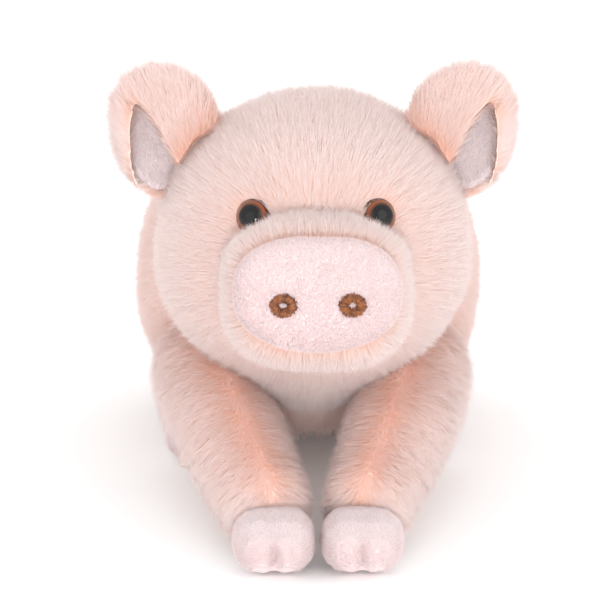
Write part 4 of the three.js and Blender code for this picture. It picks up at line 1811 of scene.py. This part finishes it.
@dataclass
class Ear:
    """An ear: a furry cupped back whose tip folds forward, and its velour lining."""

    shop: Workshop
    side: Side
    fur: Pile = EAR_FUR
    nap: Pile = EAR_NAP
    backing_depth: float = 1.0
    foot_depth: float = 3.6  # mm that the foot is let into the head's pile

    def build(self) -> None:
        """Makes the shell, its coat, the lining and its nap."""
        word, body = self.side.word, f"ear_{self.side.word}"
        form = ear_form(self.side)
        skin = cast_of(f"ear_shell_{word}", f"ear_skin_{word}", 0.9, 6)
        mesh = skin.data
        places = places_of(mesh) - self.backing_depth * normals_of(mesh)
        inward = unit(np.array(HEAD.centre) - places)
        foot = 1 - smoothstep(0.5, 6.0, HEAD.gap(places))
        move_to(mesh, places + inward * (self.foot_depth * foot)[:, None])
        places, normals = places_of(mesh), normals_of(mesh)
        root = np.array(form.centre) + np.array([-self.side.value * 14.0, 2.0, -24.0])
        behind = smoothstep(-0.15, 0.45, normals[:, 1])
        comb = along_surface(unit(places - root) + 0.15 * BACKWARDS, normals)
        comb *= (1 - 0.8 * behind)[:, None]
        crease = creased(places, [HEAD], 13.0)
        cover = smoothstep(0.74, 0.86, form.fullness(places)) * outside(places, [HEAD], 5.0)
        rim = self._low_rim(places, normals, form)
        # painted shade: the tone falls in the crease beside the head
        tone = 0.56 - 0.5 * crease + 0.5 * rim
        length = 1.0 - 0.25 * crease - 0.5 * np.maximum(rim, 0.8 * behind)
        Groom(comb, tone, length, cover).write(mesh)
        self.shop.sew(skin, Cloth.FUR, [f"ear_shell_{word}"], 0.5, body)
        self.shop.coat(f"ear_fur_{word}", skin, self.fur, Cloth.FUR, body)
        self._lining(word, body)

    def _low_rim(self, places: np.ndarray, normals: np.ndarray, form: PlumpForm) -> np.ndarray:
        """Where the lining turns over the rim's low outer part.

        Args:
            places: the shell's vertices in millimetres.
            normals: their normals.
            form: the ear's form.

        Returns:
            A share from 0 to 1 for each vertex.
        """
        out = (places[:, 0] - form.centre[0]) * self.side.value
        up = places[:, 2] - form.centre[2]
        share = smoothstep(4.0, 10.0, out) * (1 - smoothstep(0.0, 12.0, up))
        return share * smoothstep(-0.6, 0.0, -normals[:, 1])

    def _lining(self, word: str, body: str) -> None:
        """The lining inside the cup.

        Args:
            word: the side's word.
            body: the body that the ear rides on.
        """
        skin = cast_of(f"ear_lining_{word}", f"ear_lining_skin_{word}", 0.7, 3)
        mesh = skin.data
        places = places_of(mesh)
        middle = places.mean(axis=0)
        clear = smoothstep(0.0, 6.0, HEAD.gap(places))
        places[:, 1] -= clear * (2.2 + 1.6 * smoothstep(0.0, 14.0, places[:, 2] - middle[2]))
        places[:, ::2] += clear[:, None] * 0.07 * (places - middle)[:, ::2]
        move_to(mesh, places)
        normals = normals_of(mesh)
        comb = along_surface(np.array([0.5 * self.side.value, 0.6, 0.6]), normals)
        tone = 0.96 + 0.04 * lumps(places, 9.0, 1.3)
        cover = smoothstep(-0.3, 0.1, -normals[:, 1]) * (1 - creased(places, [HEAD], 5.0))
        Groom(comb, tone, np.ones(len(places)), cover).write(mesh)
        self.shop.sew(skin, Cloth.VELOUR, [f"ear_lining_{word}"], 0.3, body)
        self.shop.coat(f"ear_lining_nap_{word}", skin, self.nap, Cloth.VELOUR, body)


class LegKind(Enum):
    """The two kinds of leg, with their node name and their hoof's."""

    FORE = ("foreleg", "fore_hoof")
    HIND = ("hind_leg", "hind_hoof")


@dataclass
class Leg:
    """A leg: a padded sleeve of fur with a parting on top, and a cloven velour hoof."""

    shop: Workshop
    kind: LegKind
    side: Side
    fur: Pile = LEG_FUR
    nap: Pile = VELOUR_NAP
    coat_depth: float = 1.8  # mm inside the body to which the full coat reaches
    tuck_depth: float = 14.0  # mm inside the body to which shorter fur goes on
    tuck_share: float = 0.6  # share of the density that it keeps
    parting_width: float = 0.34  # share of the leg's half width
    hoof_depth: float = 0.6
    cleft_width: float = 2.0
    cleft_depth: float = 1.5

    def build(self) -> None:
        """Makes the sleeve and the hoof."""
        name, hoof_name = self.kind.value
        word = self.side.word
        body = f"{name}_{word}"
        fore = self.kind is LegKind.FORE
        form = foreleg_form(self.side) if fore else hind_leg_form(self.side)
        hosts = [TORSO, HEAD] if fore else [TORSO]
        skin = form.skin(f"{name}_skin_{word}", -self.shop.BACKING_DEPTH)
        Filling(24.0, 1.2, 1.7 + self.side.value).press(skin)
        mesh = skin.data
        places, normals = places_of(mesh), normals_of(mesh)
        across = read_attribute(mesh, "across")
        seen, tucked = outside(places, hosts, self.coat_depth), outside(places, hosts, self.tuck_depth)
        cover = np.maximum(seen, self.tuck_share * tucked) * off_floor(normals)
        crease = creased(places, hosts, 16.0)
        middle = np.exp(-((across / self.parting_width) ** 2)) * smoothstep(0.0, 0.5, normals[:, 2])
        outer = smoothstep(0.2, 0.9, across * self.side.value)
        # painted shade: the tone falls in the crease where the leg meets the body
        tone = 0.54 - 0.16 * crease - 0.36 * middle * (0.75 + 0.9 * lumps(places, 3.6, 4.4)) + 0.16 * outer
        length = (1.0 - 0.2 * crease - 0.25 * middle) * near_floor(places) * (0.55 + 0.45 * seen)
        comb = self._comb(mesh, form, across)
        Groom(comb, tone, length, cover * (1 - 0.3 * middle)).write(mesh)
        self.shop.sew(skin, Cloth.FUR, [f"{name}_cover_{word}", f"{name}_stuffing_{word}"], 0.8, body)
        self.shop.coat(f"{name}_fur_{word}", skin, self.fur, Cloth.FUR, body)
        self._hoof(hoof_name, word, body)

    @staticmethod
    def _comb(mesh: bpy.types.Mesh, form: LimbForm, across: np.ndarray) -> np.ndarray:
        """The way the sleeve's fibres lie: onwards, down, and away from the parting.

        Args:
            mesh: the sleeve's mesh.
            form: the leg's form.
            across: how far to the side each vertex lies, from -1 to 1.

        Returns:
            A vector for each vertex.
        """
        places, normals = places_of(mesh), normals_of(mesh)
        stations = np.round(read_attribute(mesh, "lengthwise"), 2)
        ahead = np.array([form.heading(float(station)) for station in stations])
        sideways = unit(np.cross(np.broadcast_to([0.0, 0.0, 1.0], ahead.shape), ahead))
        parting = np.clip(across * 4.0, -1.0, 1.0)[:, None]
        onward = 0.15 + 0.65 * smoothstep(0.0, 0.8, normals[:, 2])[:, None]
        fall = 0.8 * smoothstep(3.0, 12.0, places[:, 2])[:, None]
        return along_surface(onward * ahead + 1.25 * parting * sideways + fall * DOWNWARDS, normals)

    def _hoof(self, node: str, word: str, body: str) -> None:
        """The cloven velour hoof.

        Args:
            node: the frame's name for the hoof, without its side.
            word: the side's word.
            body: the body that the leg rides on.
        """
        skin = cast_of(f"{node}_{word}", f"{node}_skin_{word}", 0.8, 10)
        mesh = skin.data
        places, normals = places_of(mesh), normals_of(mesh)
        places -= self.hoof_depth * normals
        off_middle = places[:, 0] - places[:, 0].mean()
        low = (1 - smoothstep(0.0, 11.0, places[:, 2])) ** 2
        cleft = np.exp(-((off_middle / self.cleft_width) ** 2)) * smoothstep(0.1, 0.7, -normals[:, 1])
        cleft *= 1 - smoothstep(8.0, 22.0, places[:, 2])
        cleft *= 1.0 if self.kind is LegKind.FORE else 0.35
        places += np.column_stack([-0.17 * low * off_middle, self.cleft_depth * cleft, 1.8 * low * cleft])
        places[:, 2] = np.maximum(places[:, 2], FLOOR_CLEARANCE)
        move_to(mesh, places)
        comb = along_surface(np.array([0.0, 1.0, 0.4]), normals)
        # painted light: the tone rises on faces that look up, so the hoof's top is paler than its front
        tone = 0.3 + 0.12 * lumps(places, 8.0, 2.9) + 0.58 * np.clip(normals[:, 2], 0.0, 1.0)
        cover = smoothstep(-0.8, -0.5, normals[:, 2])
        Groom(comb, tone, np.ones(len(places)), cover).write(mesh)
        self.shop.sew(skin, Cloth.VELOUR, [f"{node}_{word}"], 0.8, body)
        self.shop.coat(f"{node}_nap_{word}", skin, self.nap, Cloth.VELOUR, body)


@dataclass
class Tail:
    """The small curly tail."""

    shop: Workshop
    level: float = 84.0
    radius: float = 5.0
    tip_radius: float = 3.0
    curl: float = 9.0
    turns: float = 1.15
    reach: float = 22.0
    backing_depth: float = 1.6
    pile: Pile = TAIL_FUR

    def build(self) -> None:
        """Makes the tail's skin and coat."""
        form = self._form()
        skin = form.skin("tail_skin", -self.backing_depth, steps=90, around=20)
        mesh = skin.data
        stations = np.round(read_attribute(mesh, "lengthwise"), 3)
        ahead = np.array([form.heading(float(station)) for station in stations])
        comb = along_surface(ahead, normals_of(mesh))
        same = np.ones(len(stations))
        Groom(comb, 0.6 * same, same, outside(places_of(mesh), [TORSO])).write(mesh)
        self.shop.sew(skin, Cloth.FUR, ["tail"], 0.9, "tail")
        self.shop.coat("tail_fur", skin, self.pile, Cloth.FUR, "tail")

    def _form(self) -> LimbForm:
        """The curl as a tube that rises from the body's rear.

        Returns:
            The tube in the frame's millimetres.
        """
        rise = (self.level - TORSO.centre[2]) / TORSO.up
        root = np.array([0, TORSO.back * (1 - rise**TORSO.round_up) ** (1 / TORSO.round_up), self.level])
        points = [tuple(root - [0, self.curl, 0])]
        steps = 12
        for i in range(steps + 1):
            angle = 2 * math.pi * self.turns * i / steps
            back = self.radius + self.reach * i / steps
            curled = [self.curl * math.sin(angle), back, self.curl * (1 - math.cos(angle))]
            points.append(tuple(root + curled))
        blunt = 0.05
        return LimbForm(tuple(points), self.radius, self.tip_radius, blunt, blunt)


@dataclass
class Label:
    """The small bare tab in the seam at the side of the body: a ribbon folded in half."""

    shop: Workshop
    thickness: float = 0.22
    corner: float = 0.3

    def build(self) -> None:
        """Makes the folded ribbon inside the frame's tab."""
        low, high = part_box("sewn_label")
        x0, y0, z0 = (c / MM for c in low)
        x1, y1, z1 = (c / MM for c in high)
        middle, bend = (y0 + y1) / 2, (y1 - y0) / 2 - self.thickness / 2
        line = [(middle - bend, z1), (middle - bend, z0 + 1.2), (middle - bend * 0.9, z0 + 0.7)]
        line += [(middle, z0 + 0.45), (middle + bend * 0.9, z0 + 0.7)]
        line += [(middle + bend, z0 + 1.2), (middle + bend, z1)]
        columns = 9
        places, faces = [], []
        for y, z in line:
            for i in range(columns):
                share = i / (columns - 1)
                sway = 0.12 * math.sin(3.0 * share + z)
                places.append((x0 + (x1 - x0) * share, y + sway * 0.4, z))
        for row in range(len(line) - 1):
            for i in range(columns - 1):
                at = row * columns + i
                faces.append([at, at + 1, at + columns + 1, at + columns])
        tab = mesh_object("bare_label", np.array(places), faces)
        wall = tab.modifiers.new("wall", "SOLIDIFY")
        wall.thickness = self.thickness * MM
        wall.offset = 0.0
        tab.data = evaluated(tab)
        tab.modifiers.clear()
        tab.data.materials.append(self.shop.finishes.label)
        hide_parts("sewn_label")
        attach(tab, "hind_leg_right")
        LOG.info("bare_label: %d faces", len(tab.data.polygons))


@dataclass(frozen=True)
class Lamp:
    """A round area lamp that faces the pig, in metres and watts."""

    name: str
    place: tuple[float, float, float]
    size: float
    power: float

    def hang(self, aim: Vector) -> None:
        """Hangs the lamp so that it faces a point.

        Args:
            aim: the point in metres.
        """
        light = bpy.data.lights.new(self.name, "AREA")
        light.shape = "DISK"
        light.size = self.size
        light.energy = self.power
        lamp = bpy.data.objects.new(self.name, light)
        bpy.context.scene.collection.objects.link(lamp)
        lamp.location = self.place
        lamp.rotation_euler = (aim - Vector(self.place)).to_track_quat("-Z", "Y").to_euler()


@dataclass
class Studio:
    """A pale floor, soft lamps and the photograph's camera, in metres and degrees."""

    aim: tuple[float, float, float] = (-0.0035, -0.1061, 0.0824)
    distance: float = 0.95
    elevation: float = 15.0
    azimuth: float = 1.0  # how far the camera stands to the viewer's left of the pig's middle plane
    lens: float = 136.8  # focal length in millimetres
    sensor: float = 36.0  # its width in millimetres
    floor_reach: float = 6.0
    floor_glow: float = 0.05
    sky: float = 1.14  # its strength as a light
    sky_dimming: float = 0.14  # how much weaker it is where it is seen itself
    lamps: tuple[Lamp, ...] = (
        Lamp("key_lamp", (0.8, -1.2, 0.6), 1.2, 2.7),
        Lamp("fill_lamp", (-0.75, -1.3, 0.5), 1.2, 1.3),
        Lamp("low_lamp", (0.0, -1.4, 0.1), 0.24, 7.6),
        Lamp("back_lamp_left", (1.3, 1.0, 0.6), 1.4, 4.5),
        Lamp("back_lamp_right", (-1.3, 1.0, 0.6), 1.4, 4.5),
    )

    def build(self) -> None:
        """Sets the stage."""
        self._floor()
        self._world()
        for lamp in self.lamps:
            lamp.hang(Vector(self.aim))
        self._camera()
        bpy.context.scene.view_settings.view_transform = "Standard"

    @staticmethod
    def _seen(tree: TreeWriter) -> bpy.types.NodeSocket:
        """One for rays that show a surface itself, zero for those that carry its light to others.

        Args:
            tree: the shader's tree.

        Returns:
            The socket that holds the value.
        """
        paths = tree.node("ShaderNodeLightPath").outputs
        plain = tree.sum("MAXIMUM", paths["Is Camera Ray"], paths["Is Glossy Ray"])
        return tree.sum("MAXIMUM", plain, paths["Is Transmission Ray"])

    def _floor(self) -> None:
        """A wide plain floor that looks white and keeps the pig's shadow."""
        mesh = bpy.data.meshes.new("studio_floor")
        r = self.floor_reach
        mesh.from_pydata([(-r, -r, 0), (r, -r, 0), (r, r, 0), (-r, r, 0)], [], [[0, 1, 2, 3]])
        floor = put("studio_floor", mesh)
        material = bpy.data.materials.new("studio_floor")
        material.use_nodes = True
        tree = TreeWriter(material.node_tree)
        inputs = material.node_tree.nodes["Principled BSDF"].inputs
        inputs["Base Color"].default_value = (0.94, 0.94, 0.94, 1)
        inputs["Roughness"].default_value = 1.0
        inputs["Specular IOR Level"].default_value = 0.0
        inputs["Emission Color"].default_value = (1, 1, 1, 1)
        glow = tree.sum("MULTIPLY", self._seen(tree), self.floor_glow)
        material.node_tree.links.new(glow, inputs["Emission Strength"])
        mesh.materials.append(material)

    def _world(self) -> None:
        """A soft sky that looks white."""
        world = bpy.data.worlds.new("studio")
        bpy.context.scene.world = world
        world.use_nodes = True
        tree = TreeWriter(world.node_tree)
        background = world.node_tree.nodes["Background"]
        background.inputs["Color"].default_value = (1, 1, 1, 1)
        dimming = tree.sum("MULTIPLY", self._seen(tree), self.sky_dimming)
        strength = tree.sum("SUBTRACT", self.sky, dimming)
        world.node_tree.links.new(strength, background.inputs["Strength"])

    def _camera(self) -> None:
        """The camera at the photograph's angle."""
        data = bpy.data.cameras.new("camera")
        data.lens = self.lens
        data.sensor_width = self.sensor
        data.clip_start = 0.05
        camera = bpy.data.objects.new("camera", data)
        bpy.context.scene.collection.objects.link(camera)
        rise, turn = math.radians(self.elevation), math.radians(self.azimuth)
        level = math.cos(rise)
        back = Vector((-level * math.sin(turn), -level * math.cos(turn), math.sin(rise))) * self.distance
        camera.location = Vector(self.aim) + back
        camera.rotation_euler = (-back).to_track_quat("-Z", "Y").to_euler()
        bpy.context.scene.camera = camera


def main() -> None:
    """Builds the pig, piece by piece, and its studio."""
    logging.basicConfig(level=logging.INFO, format="%(name)s: %(message)s")
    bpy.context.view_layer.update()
    Studio().build()
    shop = Workshop()
    Torso(shop).build()
    Head(shop).build()
    Snout(shop).build()
    Eyes(shop).build()
    for side in Side:
        Ear(shop, side).build()
        for kind in LegKind:
            Leg(shop, kind, side).build()
    Tail(shop).build()
    Label(shop).build()


if __name__ == "__main__":
    main()
